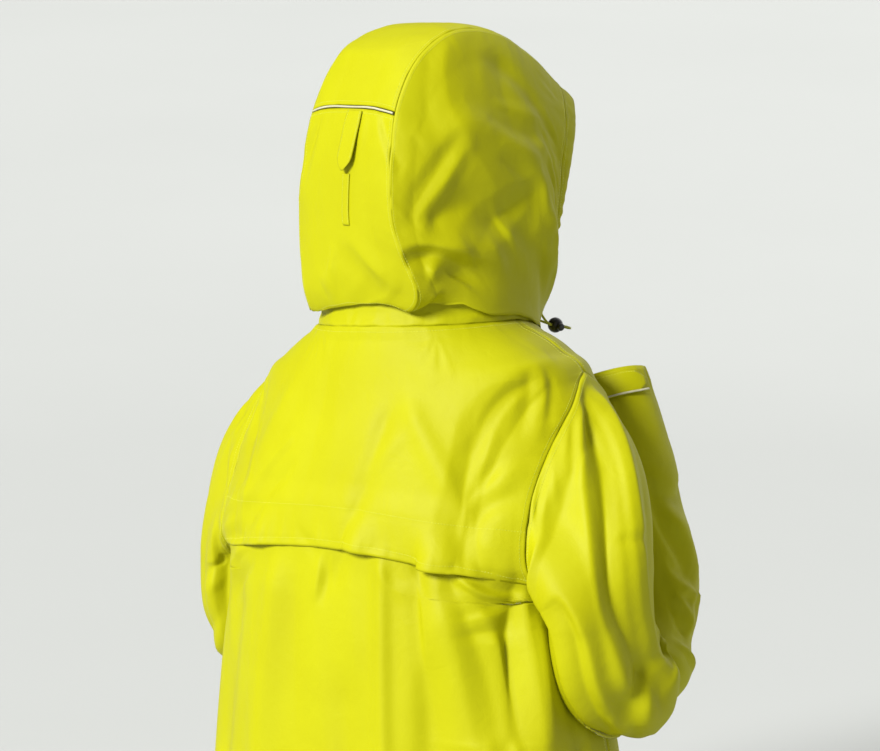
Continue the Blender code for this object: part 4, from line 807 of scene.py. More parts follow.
def clear_of_body(points):
    """Points of a sleeve that would lie in the body, moved out against it."""
    heights = [row.side_z for row in BODY[:8]]
    level = np.interp(points[..., 2], heights, [row.level for row in BODY[:8]])
    angle = np.degrees(np.arctan2(-points[..., 0], points[..., 1]))
    shell = body_point(level, angle)
    least = np.hypot(shell[..., 0], shell[..., 1]) + ARM_CLEAR
    radius = np.hypot(points[..., 0], points[..., 1])
    below = ease((UNDERARM_Z - points[..., 2]) / UNDERARM_BLEND)
    push = np.maximum(least - radius, 0) * below / radius
    return points + points * np.stack((push, push, 0 * push), axis=-1)


def sleeve_shape(table, side, rows, columns, seam, turns):
    """The smooth outer face of a sleeve: curves from the armhole seam to the first section, then the arm."""
    turn = turns[columns]
    under = (1 - np.cos(np.radians(turn))) / 2
    pull, slope = RIGHT_CAP if side > 0 else LEFT_CAP
    length = (pull + (CAP_REACH_UNDER - pull) * under**CAP_CURVE)[..., None]
    out_way = unit(np.array((-side, 0.0, -slope)))
    place = np.maximum(rows - CAP_ROWS, 0) * table[-1].place / ARM_ROWS
    _, along, _, _ = arm_frame(table, 0 * place, side)
    t = np.clip(rows / CAP_ROWS, 0, 1)[..., None]
    first = arm_point(table, 0 * place, turn, side)
    start = seam[columns] * (1 + 2 * t) * (1 - t) ** 2 + out_way * length * t * (1 - t) ** 2
    end = first * t * t * (3 - 2 * t) + along * length * t * t * (t - 1)
    return np.where(t < 1, start + end, arm_point(table, place, turn, side))


def sleeve_fold_height(folds, rows, turns):
    """The height of a sleeve's folds at each row and turn, laid out on a cylinder."""
    turned = np.radians((turns + 180) % 360 - 180) * SLEEVE_RADIUS
    height = 0 * (rows + turned)
    for fold in folds:
        start = (fold.row * SLEEVE_ROW, math.radians(fold.turn) * SLEEVE_RADIUS)
        end = (fold.to_row * SLEEVE_ROW, math.radians(fold.to_turn) * SLEEVE_RADIUS)
        height = height + fold.height * segment_bump(rows * SLEEVE_ROW, turned, start, end, fold.width)
    return height * ease((rows - 0.5) / 2.0)


def collar_point(height, angle):
    """The outer face of the collar, height metres up from the neck seam."""
    angle = np.asarray(angle, float)
    ring = body_point(NECK, angle)
    inwards = unit(ring * np.array((1.0, 1.0, 0.0)))
    height = np.asarray(height, float)
    return ring - inwards * (COLLAR_LEAN * height)[..., None] + np.array((0.0, 0.0, 1.0)) * height[..., None]


def neck_angles():
    """The angles of the neck seam's points, from the left of the zip round the back to its right."""
    back = np.linspace(-1, 1, BACK_COLUMNS + 1) * SIDE_SEAM
    share = np.linspace(0, 1, FRONT_COLUMNS + 1)
    end = float(zip_edge(NECK, ZIP_GAP))
    front = SIDE_SEAM + (end - SIDE_SEAM) * share[1:]
    return np.concatenate((-front[::-1], back, front))


def hood_foot(step, sign):
    """The hood's lower edge, which stands round the collar. sign is 1 on the right and -1 on the left."""
    angle = sign * read(HOOD, "foot", step) - HOOD_FOOT_TURN * ease(step / NAPE_STEP)
    return ring_round_collar(angle)


def ring_round_collar(angle):
    point = collar_point(np.zeros_like(angle) + HOOD_SEAM_HEIGHT, angle)
    outwards = unit(point * np.array((1.0, 1.0, 0.0)))
    return point + outwards * HOOD_STAND


def hood_shape(step, turn):
    step, turn = np.broadcast_arrays(np.asarray(step, float), np.asarray(turn, float))
    t = np.radians(turn)
    power = 2 / HOOD_ROUNDNESS
    side = -np.sign(np.cos(t)) * np.abs(np.cos(t)) ** power
    height = np.abs(np.sin(t)) ** power
    right = turn <= 90
    foot = np.where(right[..., None], hood_foot(step, 1.0), hood_foot(step, -1.0))
    half = read(HOOD, "half_width", step)
    foot_half = np.abs(foot[..., 0])
    width = foot_half + (half - foot_half) * ease(height / HOOD_FOOT_FLARE)
    x = side * width
    bow = read(HOOD, "bow", step) * np.sin(math.pi * height**BOW_LOW)
    kick = CHIN_KICK * bump(height - CHIN_KICK_HEIGHT, CHIN_KICK_REACH) * ease(1 - step / CHIN_KICK_STEPS)
    kick = kick * ease(height / CHIN_KICK_FOOT)
    y = foot[..., 1] + (read(HOOD, "top_y", step) - foot[..., 1]) * height + bow - kick
    z = foot[..., 2] + (read(HOOD, "top_z", step) - foot[..., 2]) * height
    arch = np.stack((x, y, z), axis=-1)
    at_nape = ease((step - NAPE_STEP + NAPE_BLEND) / NAPE_BLEND)[..., None] ** 2
    nape = ring_round_collar((90 - turn) / 90 * read(HOOD, "foot", step) - HOOD_FOOT_TURN)
    points = arch + (nape - arch) * at_nape
    turned = math.radians(HEAD_TURN) * ease((points[..., 2] - HOOD_TURN_START) / HEAD_TURN_HEIGHT)
    x, y, z = np.moveaxis(points, -1, 0)
    cos, sin = np.cos(turned), np.sin(turned)
    return clear_of_collar(np.stack((x * cos + y * sin, y * cos - x * sin, z), axis=-1))


def clear_of_collar(points):
    """Points of the hood that would lie in the collar, moved out round it."""
    angle = np.degrees(np.arctan2(-points[..., 0], points[..., 1]))
    foot = collar_point(np.zeros_like(angle), angle)
    height = points[..., 2] - foot[..., 2]
    collar_face = collar_point(np.maximum(height, 0), angle)
    least = np.hypot(collar_face[..., 0], collar_face[..., 1]) + HOOD_STAND
    radius = np.hypot(points[..., 0], points[..., 1])
    beside = 1 - ease((height - COLLAR_HEIGHT - HOOD_STAND) / COLLAR_HEIGHT)
    push = np.maximum(least - radius, 0) * beside / radius
    return points + points * np.stack((push, push, 0 * push), axis=-1)


def hood_normal(step, turn):
    step, turn = np.broadcast_arrays(np.asarray(step, float), np.asarray(turn, float))
    step = np.clip(step, 0.03, NAPE_STEP - 0.03)
    turn = np.clip(turn, 1.0, 179.0)
    return -surface_normals(hood_shape, step, turn, 0.03, 1.0)


def hood_point(step, turn):
    """A point of the outer face of the hood, with its folds."""
    step, turn = np.broadcast_arrays(np.asarray(step, float), np.asarray(turn, float))
    u = step * HOOD_STEP
    v = np.radians(turn) * HOOD_RADIUS
    height = 0 * u
    for fold in HOOD_FOLDS:
        start = (fold.step * HOOD_STEP, math.radians(fold.turn) * HOOD_RADIUS)
        end = (fold.to_step * HOOD_STEP, math.radians(fold.to_turn) * HOOD_RADIUS)
        height = height + fold.height * segment_bump(u, v, start, end, fold.width)
    from_foot = np.minimum(turn, 180 - turn)
    height = height + SEAM_RIDGE * np.exp(-np.abs(from_foot - seam_turn(step)) / SEAM_RIDGE_WIDTH)
    height = height * ease(from_foot / 5)
    return hood_shape(step, turn) + hood_normal(step, turn) * height[..., None]


def seam_turn(step):
    return read(HOOD, "seam", step)


def hood_steps(start, end, count):
    return np.linspace(start, end, count + 1)[:, None]


def side_turns(steps, side):
    """Columns of a side panel, evenly spaced along each arch from its foot to the seam."""
    fine = np.linspace(0, 1, 61)
    turns = seam_turn(steps) * fine[None, :] ** FOOT_CROWDING
    points = hood_shape(steps, turns)
    lengths = np.linalg.norm(np.diff(points, axis=1), axis=-1)
    run = np.concatenate((0 * steps, np.cumsum(lengths, axis=1)), axis=1)
    share = np.linspace(0, 1, SIDE_COLUMNS + 1)
    even = np.stack([np.interp(share * row[-1], row, turn) for row, turn in zip(run, turns)])
    return even if side > 0 else 180 - even


def centre_turns(steps):
    seam = seam_turn(steps)
    share = np.linspace(0, 1, CENTRE_COLUMNS + 1)[None, :]
    return seam + (180 - 2 * seam) * share


def turn_at(step, x):
    """Degrees round the hood's arch of a place x to the side of its middle."""
    half = read(HOOD, "half_width", step)
    turned = np.degrees(np.arccos((np.abs(x) / half) ** (HOOD_ROUNDNESS / 2)))
    return np.where(x < 0, turned, 180 - turned)


def lock_frame(lock):
    """The lock's middle, the way the cord goes, the button's way and the way across both."""
    along = unit(np.array(lock.along))
    button = np.array(lock.button)
    button = unit(button - along * (along @ button))
    return np.array(lock.middle), along, button, np.cross(along, button)


def smooth_route(points, spacing):
    """Points a set way apart along a smooth curve through the given ones."""
    points = np.array(points)
    chords = np.linalg.norm(np.diff(points, axis=0), axis=1)
    at = np.concatenate(([0.0], np.cumsum(chords)))
    slopes = np.gradient(points, at, axis=0)
    fine = np.linspace(0, at[-1], 400)
    row = np.clip(np.searchsorted(at, fine, side="right") - 1, 0, len(at) - 2)
    span = (at[row + 1] - at[row])[:, None]
    t = (fine - at[row])[:, None] / span
    start = points[row] * (1 + 2 * t) * (1 - t) ** 2 + slopes[row] * span * t * (1 - t) ** 2
    end = points[row + 1] * t * t * (3 - 2 * t) + slopes[row + 1] * span * t * t * (t - 1)
    curve = start + end
    run = np.concatenate(([0.0], np.cumsum(np.linalg.norm(np.diff(curve, axis=0), axis=1))))
    steps = np.linspace(0, run[-1], max(2, round(run[-1] / spacing)) + 1)
    return np.stack([np.interp(steps, run, curve[:, axis]) for axis in range(3)], axis=-1)


def cord_route(lock):
    """From the casing through the lock, round a loop and back through the lock to the casing."""
    middle, along, button, _ = lock_frame(lock)
    upper, lower = lock.exits
    ends = []
    for turn in (upper, lower):
        edge = hood_point(0.0, turn) - hood_normal(0.0, turn) * WALL / 2
        forward = unit(hood_point(0.0, turn) - hood_point(CORD_EXIT_STEP, turn))
        ends.append((edge + forward * CORD_EXIT_GAP, edge + forward * (CORD_EXIT_GAP + CORD_DIAMETER)))
    strand = button * STRAND_APART / 2
    mouth = along * (LOCK_RADIUS + CORD_DIAMETER / 2)
    loop = along * (LOCK_RADIUS + CORD_LOOP)
    out = [middle + strand - mouth, middle + strand, middle + strand + mouth]
    back = [middle - strand + mouth, middle - strand, middle - strand - mouth]
    shoulder = loop * CORD_LOOP_SHOULDER
    wide = button * CORD_LOOP_HALF
    bend = [middle + shoulder + wide, middle + loop, middle + shoulder - wide]
    return smooth_route([*ends[0], *out, *bend, *back, *ends[1][::-1]], CORD_SPACING)


# --- Creases and small relief


def facet(across):
    """The section of a crease from its line outwards: a narrow rounded top, flat flanks, a soft foot."""
    slope = 1 - (np.hypot(across, CREASE_TIP) - CREASE_TIP) / CREASE_REACH
    foot = np.clip(slope + CREASE_FOOT, 0.0, None) ** 2 / (4 * CREASE_FOOT)
    return np.where(slope > CREASE_FOOT, slope, foot)


def crease_relief(table, u, v, u_scale, v_scale):
    """The height of a table's creases at u, v. Scales turn its two coordinates into metres on the cloth."""
    height = 0.0 * (u + v)
    for crease in table:
        start = np.array((crease.u * u_scale, crease.v * v_scale))
        run = np.array((crease.to_u * u_scale, crease.to_v * v_scale)) - start
        length = np.hypot(*run)
        t = ((u - start[0]) * run[0] + (v - start[1]) * run[1]) / length**2
        inside = np.clip(t, 0.0, 1.0)
        across = ((u - start[0]) * run[1] - (v - start[1]) * run[0]) / length
        across = across - crease.bow * MM * 4 * inside * (1 - inside)
        width = crease.width * MM * np.where(across > 0, crease.lean, 1 / crease.lean)
        width = width * (0.72 + 0.55 * inside)
        past = np.maximum(-t, t - 1) * length
        taper = 0.45 + 0.55 * np.sin(math.pi * inside) ** 0.7
        ends = bump(np.maximum(past, 0.0), 1.3 * crease.width * MM)
        height += CREASE_GAIN * crease.height * MM * facet(across / width) * taper * ends
    return height


def fan_creases(fans, u_scale, v_scale):
    """The creases of fans: ridges and troughs in turn, uneven in length, depth and direction."""
    made = []
    for number, fan in enumerate(fans):
        for k in range(fan.count):
            odd = [math.sin(37.7 * number + 12.9 * k + 5.3 * part) for part in range(4)]
            way = fan.turn + fan.spread * ((k + 0.5) / fan.count - 0.5 + 0.35 * odd[0] / fan.count)
            way = math.radians(way)
            near, far = 0.12 * fan.length, fan.length * (0.75 + 0.25 * odd[1])
            ends = [
                (fan.u + reach * MM * math.cos(way) / u_scale, fan.v + reach * MM * math.sin(way) / v_scale)
                for reach in (near, far)
            ]
            height = FAN_GAIN * fan.height * (0.7 + 0.3 * odd[2]) * (1 if k % 2 else -1)
            made.append(Crease(*ends[0], *ends[1], fan.width, height, 1.3, 0.06 * fan.length * odd[3]))
    return tuple(made)


def noise(points, size, salt=0.0):
    """Smooth noise from -1 to 1 through space, with features about size metres across."""
    q = np.asarray(points) / size
    cell = np.floor(q)
    t = q - cell
    t = t * t * (3 - 2 * t)
    total = 0.0
    for dx in (0, 1):
        for dy in (0, 1):
            for dz in (0, 1):
                corner = (cell + (dx, dy, dz)) @ np.array((127.1, 311.7, 74.7)) + salt
                value = np.sin(corner) * 43758.5453
                value = 2 * (value - np.floor(value)) - 1
                weight = np.ones(value.shape)
                for axis, far in enumerate((dx, dy, dz)):
                    weight = weight * (t[..., axis] if far else 1 - t[..., axis])
                total = total + value * weight
    return total


def crumple(points, size, salt, stretch=(1.0, 1.0, 1.0)):
    """Thin ridges between soft facets, as in coated cloth that has been creased, from about -1 to 1."""
    bent = np.asarray(points) / np.array(stretch)
    warp = np.stack([noise(bent, 1.7 * size, salt + 11 * k) for k in range(3)], axis=-1)
    bent = bent + 0.55 * size * warp
    ridges = 1 - np.abs(noise(bent, size, salt + 41)) * 2.2
    return 0.65 * ridges + 0.35 * noise(bent, 0.8 * size, salt + 71)


def body_fold_places(level, angle):
    """Where a place on the body lies on the laid-out cloth, in metres."""
    a = np.radians(angle)
    side_z = read(BODY, "side_z", level)
    end_z = np.where(np.cos(a) > 0, read(BODY, "back_z", level), read(BODY, "front_z", level))
    return a * FOLD_RADIUS, side_z + (end_z - side_z) * np.cos(a) ** 2


def body_surface(level, angle):
    """The outer face of the body with its creases."""
    level, angle = np.broadcast_arrays(np.asarray(level, float), np.asarray(angle, float))
    points = body_point(level, angle)
    u, v = body_fold_places(level, angle)
    scales = (math.radians(1) * FOLD_RADIUS, 1.0)
    height = crease_relief(BODY_CREASES + fan_creases(BODY_FANS, *scales), u, v, *scales)
    busy = 0.35 + 0.65 * ease((np.abs(angle) - 34) / 30) * (1 - 0.6 * ease((np.abs(angle) - 120) / 40))
    height = height + 0.0005 * busy * crumple(points, 0.070, 3.0, (1.0, 1.0, 1.5))
    height = height + 0.00012 * busy * crumple(points, 0.020, 9.0, (1.0, 1.0, 1.3))
    top = 1 - ease((level - (NECK - 0.7)) / 0.7)
    return points + body_normal(level, angle) * (height * top)[..., None]


def sleeve_surface(table, side):
    """The outer face of a sleeve with its creases, the way out of it and its rows."""
    levels, angles = armhole_loop(side)
    seam = body_surface(levels, angles)
    turns = loop_turns(seam)
    rows = np.linspace(0.0, CAP_ROWS + ARM_ROWS, (CAP_ROWS + ARM_ROWS) * SLEEVE_FINE + 1)[:, None]
    rows, columns = np.broadcast_arrays(rows, np.arange(len(turns))[None, :])
    sewn = (rows == 0)[..., None]
    points = sleeve_shape(table, side, rows, columns, seam, turns)
    points = np.where(sewn, points, clear_of_body(points))
    around = np.roll(points, -1, axis=1) - np.roll(points, 1, axis=1)
    along = np.gradient(points, axis=0)
    share = ease(rows / 3.0)[..., None]
    normals = unit(np.cross(around, along)) * side
    normals = unit(normals * share + body_normal(levels, angles)[None] * (1 - share))
    folds, creases, fans = (
        (RIGHT_FOLDS, RIGHT_CREASES, RIGHT_FANS) if side > 0 else (LEFT_FOLDS, LEFT_CREASES, LEFT_FANS)
    )
    height = sleeve_fold_height(folds, rows, turns[None, :])
    turned = np.radians((turns[None, :] + 180) % 360 - 180) * SLEEVE_RADIUS
    scales = (SLEEVE_ROW, math.radians(1) * SLEEVE_RADIUS)
    creases = creases + fan_creases(fans, *scales)
    height = height + crease_relief(creases, rows * SLEEVE_ROW, turned, *scales) * ease(rows / 0.7)
    busy = ease(rows / 1.5)
    height = height + busy * 0.0006 * crumple(points, 0.060, 21.0)
    height = height + busy * 0.00015 * crumple(points, 0.018, 29.0)
    creased = points + normals * height[..., None]
    return np.where(sewn, creased, clear_of_body(creased)), normals


def hood_surface(step, turn):
    """The outer face of the hood with its creases."""
    step, turn = np.broadcast_arrays(np.asarray(step, float), np.asarray(turn, float))
    points = hood_point(step, turn)
    u = step * HOOD_STEP
    v = np.radians(turn) * HOOD_RADIUS
    scales = (HOOD_STEP, math.radians(1) * HOOD_RADIUS)
    height = crease_relief(HOOD_CREASES + fan_creases(HOOD_FANS, *scales), u, v, *scales)
    busy = 0.4 + 0.6 * ease((np.abs(turn - 90) - 18) / 16)
    height = height + busy * 0.0005 * crumple(points, 0.050, 51.0)
    height = height + busy * 0.00012 * crumple(points, 0.016, 57.0)
    from_foot = np.minimum(turn, 180 - turn)
    height = height * ease(from_foot / 7) * (1 - 0.8 * ease((step - NAPE_STEP + 0.7) / 0.7))
    return points + hood_normal(step, turn) * height[..., None]


# --- Seams, hems and stitches


def edge_first(grid, edge):
    """The grid turned so that an edge of it is its first column."""
    if edge.endswith("row"):
        grid = np.swapaxes(grid, 0, 1)
    return grid[:, ::-1] if edge.startswith("last") else grid


def edge_distances(points, edge):
    """For each point of a grid: how far it is from an edge, and how far along that edge."""
    turned = edge_first(points, edge)
    steps = np.linalg.norm(np.diff(turned, axis=1), axis=-1)
    away = np.concatenate((np.zeros((len(turned), 1)), np.cumsum(steps, axis=1)), axis=1)
    steps = np.linalg.norm(np.diff(turned[:, 0], axis=0), axis=-1)
    along = np.concatenate(([0.0], np.cumsum(steps)))[:, None] + 0 * away
    if edge.startswith("last"):
        away, along = away[:, ::-1], along[:, ::-1]
    if edge.endswith("row"):
        away, along = away.T, along.T
    return away, along


def wave(along, salt):
    """Uneven waves along a seam."""
    places = np.stack((along, 0 * along + salt, 0 * along), axis=-1)
    return noise(places, PUCKER_LENGTH, salt) + 0.5 * noise(places, PUCKER_LENGTH / 2.1, salt + 5)


def seam_relief(away, along, salt, pucker=1.0, kind="seam", share=1.0):
    """A groove at the seam, the proud allowance beside it and the puckers across it."""
    groove = -SEAM_GROOVE * bump(away, SEAM_GROOVE_WIDTH)
    proud = SEAM_PROUD * bump(away - SEAM_ALLOWANCE, SEAM_SPREAD)
    fade = np.exp(-away / PUCKER_FADE) * (1 - bump(away, SEAM_GROOVE_WIDTH))
    rise, reach = SEAM_RISES[kind]
    filled = rise * share * np.clip(1 - away / reach, 0.0, 1.0)
    return filled + groove + proud + pucker * PUCKER * wave(along, salt) * fade


def rolled(away, reach):
    """How far a rounded edge falls back: 1 at the edge and 0 from its reach on."""
    return 1 - np.sqrt(1 - np.clip(1 - away / reach, 0, 1) ** 2)


def in_hem(away, depth):
    """1 over the turned-up part of a hem and 0 past it."""
    return 1 - ease((away - depth + HEM_STEP / 2) / HEM_STEP)


def hem_relief(away, along, salt, depth=HEM_DEPTH, pucker=1.0):
    """A turned-up hem: proud to its stitches, rolled at its edge and puckered."""
    proud = HEM_PROUD * in_hem(away, depth)
    line = -0.0005 * bump(away - depth + HEM_STITCH, 0.0014)
    roll = -HEM_WALL * rolled(away, HEM_ROLL)
    fade = np.exp(-np.abs(away - depth + HEM_STITCH) / 0.014)
    return proud + line + roll + 0.9 * pucker * PUCKER * wave(along, salt) * fade


def run_along(points):
    """How far along a line each of its points is."""
    return np.concatenate(([0.0], np.cumsum(np.linalg.norm(np.diff(points, axis=0), axis=1))))


def points_along(at, run, line):
    """The places that lie at the given distances along a line."""
    return np.stack([np.interp(at, run, line[:, axis]) for axis in range(3)], axis=-1)


STITCHES = []


def stitch_line(points, normals, edge, inset, close=False):
    """Remembers a row of stitches a set way in from an edge of a finished grid."""
    turned, out_way = edge_first(points, edge), edge_first(normals, edge)
    away = edge_first(edge_distances(points, edge)[0], edge)
    column = np.clip((away > inset).argmax(axis=1), 1, away.shape[1] - 1)
    line = np.arange(len(turned))
    before, after = away[line, column - 1], away[line, column]
    share = ((inset - before) / (after - before))[:, None]
    place = turned[line, column - 1] * (1 - share) + turned[line, column] * share
    out = out_way[line, column]
    if close:
        place, out = np.concatenate((place, place[:1])), np.concatenate((out, out[:1]))
    run = run_along(place)
    count = int(run[-1] / STITCH_PITCH)
    at = (np.arange(count) + 0.5) * STITCH_PITCH
    middle = points_along(at, run, place)
    ahead = points_along(at + LOOK_AHEAD, run, place)
    out = points_along(at, run, out)
    way = unit(ahead - middle + 1e-9)
    STITCHES.append((middle, way, unit(out)))


def ring_quads(rings, around):
    """The faces between rings of points that follow one another."""
    quads = []
    for ring in range(rings - 1):
        for k in range(around):
            a, b = ring * around + k, ring * around + (k + 1) % around
            quads.append((a, b, b + around, a + around))
    return quads


def add_copies(name, points, quads, material):
    """One piece of many small forms with the same faces: each row of points is a form."""
    faces = np.arange(len(points))[:, None, None] * points.shape[1] + np.array(quads)[None]
    return add_mesh(name, points.reshape(-1, 3), faces.reshape(-1, 4), [material])


def stitch_mesh(name, material):
    """All the remembered stitches as one piece: each a short thread that dips in at both its ends."""
    middle, way, out = (np.concatenate(part) for part in zip(*STITCHES))
    side = np.cross(way, out)
    rings = ((-0.5, 0.15, -0.9), (-0.3, 0.9, 0.25), (0.0, 1.0, 0.55), (0.3, 0.9, 0.25), (0.5, 0.15, -0.9))
    points = []
    for along, thick, rise in rings:
        base = middle + way * STITCH_LONG * along + out * STITCH_HALF * rise
        for turn in range(4):
            a = math.pi * (turn + 0.5) / 2
            reach = STITCH_HALF * thick
            points.append(base + side * reach * math.cos(a) + out * reach * math.sin(a))
    quads = ring_quads(len(rings), 4) + [(3, 2, 1, 0), (16, 17, 18, 19)]
    return add_copies(name, np.stack(points, axis=1), quads, material)


# --- Meshes


def add_object(name, data):
    made = bpy.data.objects.new(name, data)
    bpy.context.scene.collection.objects.link(made)
    return made


def add_mesh(name, points, faces, materials, slots=None, places=None):
    mesh = bpy.data.meshes.new(name)
    faces = np.asarray(faces)
    sides = faces.shape[1]
    mesh.vertices.add(len(points))
    mesh.vertices.foreach_set("co", np.asarray(points, np.float32).ravel())
    mesh.loops.add(faces.size)
    mesh.loops.foreach_set("vertex_index", faces.astype(np.int32).ravel())
    mesh.polygons.add(len(faces))
    mesh.polygons.foreach_set("loop_start", np.arange(len(faces), dtype=np.int32) * sides)
    for material in materials:
        mesh.materials.append(material)
    if slots is not None:
        mesh.polygons.foreach_set("material_index", np.asarray(slots, np.int32))
    mesh.polygons.foreach_set("use_smooth", np.ones(len(faces), bool))
    mesh.update(calc_edges=True)
    if places is not None:
        mesh.uv_layers.new(name="cloth")
        mesh.uv_layers[0].data.foreach_set("uv", np.asarray(places, np.float32).ravel())
    mesh.validate()
    return add_object(name, mesh)


def grid_normals(points, closed_round):
    if closed_round:
        across = np.roll(points, -1, axis=1) - np.roll(points, 1, axis=1)
    else:
        across = np.gradient(points, axis=1)
    return unit(np.cross(across, np.gradient(points, axis=0)) + 1e-12)


def grid_corners(grid):
    """The four corners of each face of a grid, in order."""
    return np.stack((grid[:-1, :-1], grid[:-1, 1:], grid[1:, 1:], grid[1:, :-1]), axis=2)


def shell(name, outer, out_way, material, inside, wall=SHELL, closed_round=False):
    """A thin wall of cloth in from a grid of points. Its inner faces have a material of their own."""
    normals = grid_normals(outer, closed_round)
    turned_in = (normals * out_way).sum() < 0
    if turned_in:
        normals = -normals
    inner = outer - normals * (np.asarray(wall) + np.zeros(outer.shape[:2]))[..., None]
    rows, columns = outer.shape[:2]
    index = np.arange(rows * columns).reshape(rows, columns)
    if closed_round:
        index = np.concatenate((index, index[:, :1]), axis=1)
    quads = grid_corners(index).reshape(-1, 4)
    far = rows * columns
    borders = [index[0, ::-1], index[-1]]
    if not closed_round:
        borders += [index[:, 0], index[::-1, -1]]
    rims = [np.stack((b[:-1], b[1:], b[1:] + far, b[:-1] + far), axis=-1) for b in borders]
    rims = np.concatenate(rims)
    faces = np.concatenate((quads, far + quads[:, ::-1], rims))
    if turned_in:
        faces = faces[:, ::-1]
    slots = np.zeros(len(faces))
    slots[len(quads) : 2 * len(quads)] = 1
    wide = np.concatenate((outer, outer[:, :1]), axis=1) if closed_round else outer
    u = edge_distances(wide, "first_column")[0]
    v = edge_distances(wide, "first_row")[0]
    u = u - u[:, u.shape[1] // 2][:, None]
    place = np.stack((u, v), axis=-1)
    corner = grid_corners(place).reshape(-1, 4, 2)
    flat = place[:, :columns].reshape(-1, 2)
    rim_places = flat[rims % far]
    places = np.concatenate((corner, corner[:, ::-1], rim_places))
    if turned_in:
        places = places[:, ::-1]
    points = np.concatenate((outer.reshape(-1, 3), inner.reshape(-1, 3)))
    made = add_mesh(name, points, faces, [material, inside], slots, places)
    return made, normals


def wear(piece, slot, *nodes):
    """Puts a piece on the jacket in the place of its solids, and hides those solids."""
    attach(piece, "jacket")
    if nodes:
        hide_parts(*nodes)
    return piece


# --- Pieces of the body


def armhole_fill(points, edge):
    """How much the cloth beside the armhole is drawn out to the sleeve: not at its ends."""
    turned = edge_first(points, edge)
    height = turned[:, :1, 2]
    share = ease((height - ARMHOLE_LOW) / 0.03) * ease((ARMHOLE_HIGH - height) / 0.05)
    share = share + 0 * turned[..., 2]
    if edge.startswith("last"):
        share = share[:, ::-1]
    if edge.endswith("row"):
        share = share.T
    return share


def panel_relief(points, edges, salt, ridge=1.0):
    """The relief at the named edges of a panel: each with its kind, and how strongly it is puckered."""
    height = np.zeros(points.shape[:2])
    for number, (edge, kind, pucker) in enumerate(edges):
        away, along = edge_distances(points, edge)
        if kind == "hem":
            height = height + hem_relief(away, along, salt + 17 * number, pucker=pucker)
        else:
            share = armhole_fill(points, edge) if kind == "armhole" else ridge
            height = height + seam_relief(away, along, salt + 17 * number, pucker, kind, share)
    return height


def hem_wall(points, edge, depth=HEM_DEPTH):
    away, _ = edge_distances(points, edge)
    return SHELL + HEM_WALL * in_hem(away, depth)


def thin_edges(points, normals, edges):
    """The outer face of a tab or tape with the named edges drawn in."""
    for edge in edges:
        away, _ = edge_distances(points, edge)
        points = points - normals * (TAB_EDGE * np.exp(-away / TAB_EDGE_REACH))[..., None]
    return points


def lower_back():
    levels = body_levels()
    levels = levels[: np.searchsorted(levels, YOKE_SEAM) + 3][:, None]
    angles = back_angles(levels, np.linspace(-1, 1, BACK_COLUMNS + 1)[None, :])
    points, out = body_surface(levels, angles), body_normal(levels, angles)
    edges = (("first_row", "hem", 1.0), ("first_column", "armhole", 0.8), ("last_column", "armhole", 0.8))
    points = points + out * panel_relief(points, edges, 3.0)[..., None]
    made, normals = shell("back_lower", points, out, CLOTH, INSIDE, hem_wall(points, "first_row"))
    stitch_line(points, normals, "first_row", HEM_DEPTH - HEM_STITCH)
    for edge in ("first_column", "last_column"):
        stitch_line(points, normals, edge, SEAM_ALLOWANCE)
    wear(made, "coated_cloth", "back_panel")


def yoke_levels():
    """Rows of the yoke, from its free edge up to the neck, with each column's own lowest level."""
    across = np.linspace(-1, 1, BACK_COLUMNS + 1)[None, :]
    rows = body_levels()
    rows = np.concatenate((np.linspace(0, 1, 16)[:-1] * 0.5, rows[rows > FLAP_MIDDLE + 0.5] - FLAP_MIDDLE))
    rows = rows[:, None]
    edge = flap_edge(across)
    share = 1 - ease(rows / (YOKE_SEAM - FLAP_MIDDLE + 0.4))
    return FLAP_MIDDLE + rows + (edge - FLAP_MIDDLE) * share, across + 0 * rows


def flap_rise(levels, across):
    """How far the yoke lies out from the lower back: sewn down above, and gaping between its tacks."""
    down = ease((YOKE_SEAM + 0.12 - levels) / (YOKE_SEAM + 0.12 - flap_edge(across)))
    tacks = np.clip(sum(bump(across - place, width) for place, width in FLAP_TACKS), 0, 1)
    gape = sum(height * bump(across - place, width) for place, width, height in FLAP_GAPES)
    laid = 1 - ease((levels - YOKE_SEAM - 0.05) / 0.35)
    ends = 1 - ease((np.abs(across) - 0.88) / 0.12)
    return FLAP_LIFT * laid + MM * gape * down * (1 - tacks) * ends


def yoke():
    levels, across = yoke_levels()
    angles = back_angles(levels, across)
    points, out = body_surface(levels, angles), body_normal(levels, angles)
    points = points + out * flap_rise(levels, across)[..., None]
    height = panel_relief(points, (("first_column", "armhole", 1.2), ("last_column", "armhole", 1.2),
                                   ("last_row", "neck", 0.8)), 5.0)
    away, along = edge_distances(points, "first_row")
    height = height + hem_relief(away, along, 23.0, FLAP_HEM, 1.6)
    seam = np.abs(levels - YOKE_SEAM) / 0.06 * 0.004
    height = height - 0.0004 * bump(seam, 0.0020) + 0.5 * PUCKER * wave(along, 31.0) * np.exp(-seam / 0.012)
    points = points + out * height[..., None]
    made, normals = shell("yoke_back", points, out, CLOTH, INSIDE, hem_wall(points, "first_row", FLAP_HEM))
    stitch_line(points, normals, "first_row", FLAP_HEM - HEM_STITCH)
    stitch_line(points, normals, "last_row", SEAM_ALLOWANCE)
    for edge in ("first_column", "last_column"):
        stitch_line(points, normals, edge, SEAM_ALLOWANCE)
    row = np.abs(levels[:, BACK_COLUMNS // 2] - YOKE_SEAM).argmin()
    stitch_line(points[row:], normals[row:], "first_row", 0.0015)
    wear(made, "coated_cloth", "back_yoke")


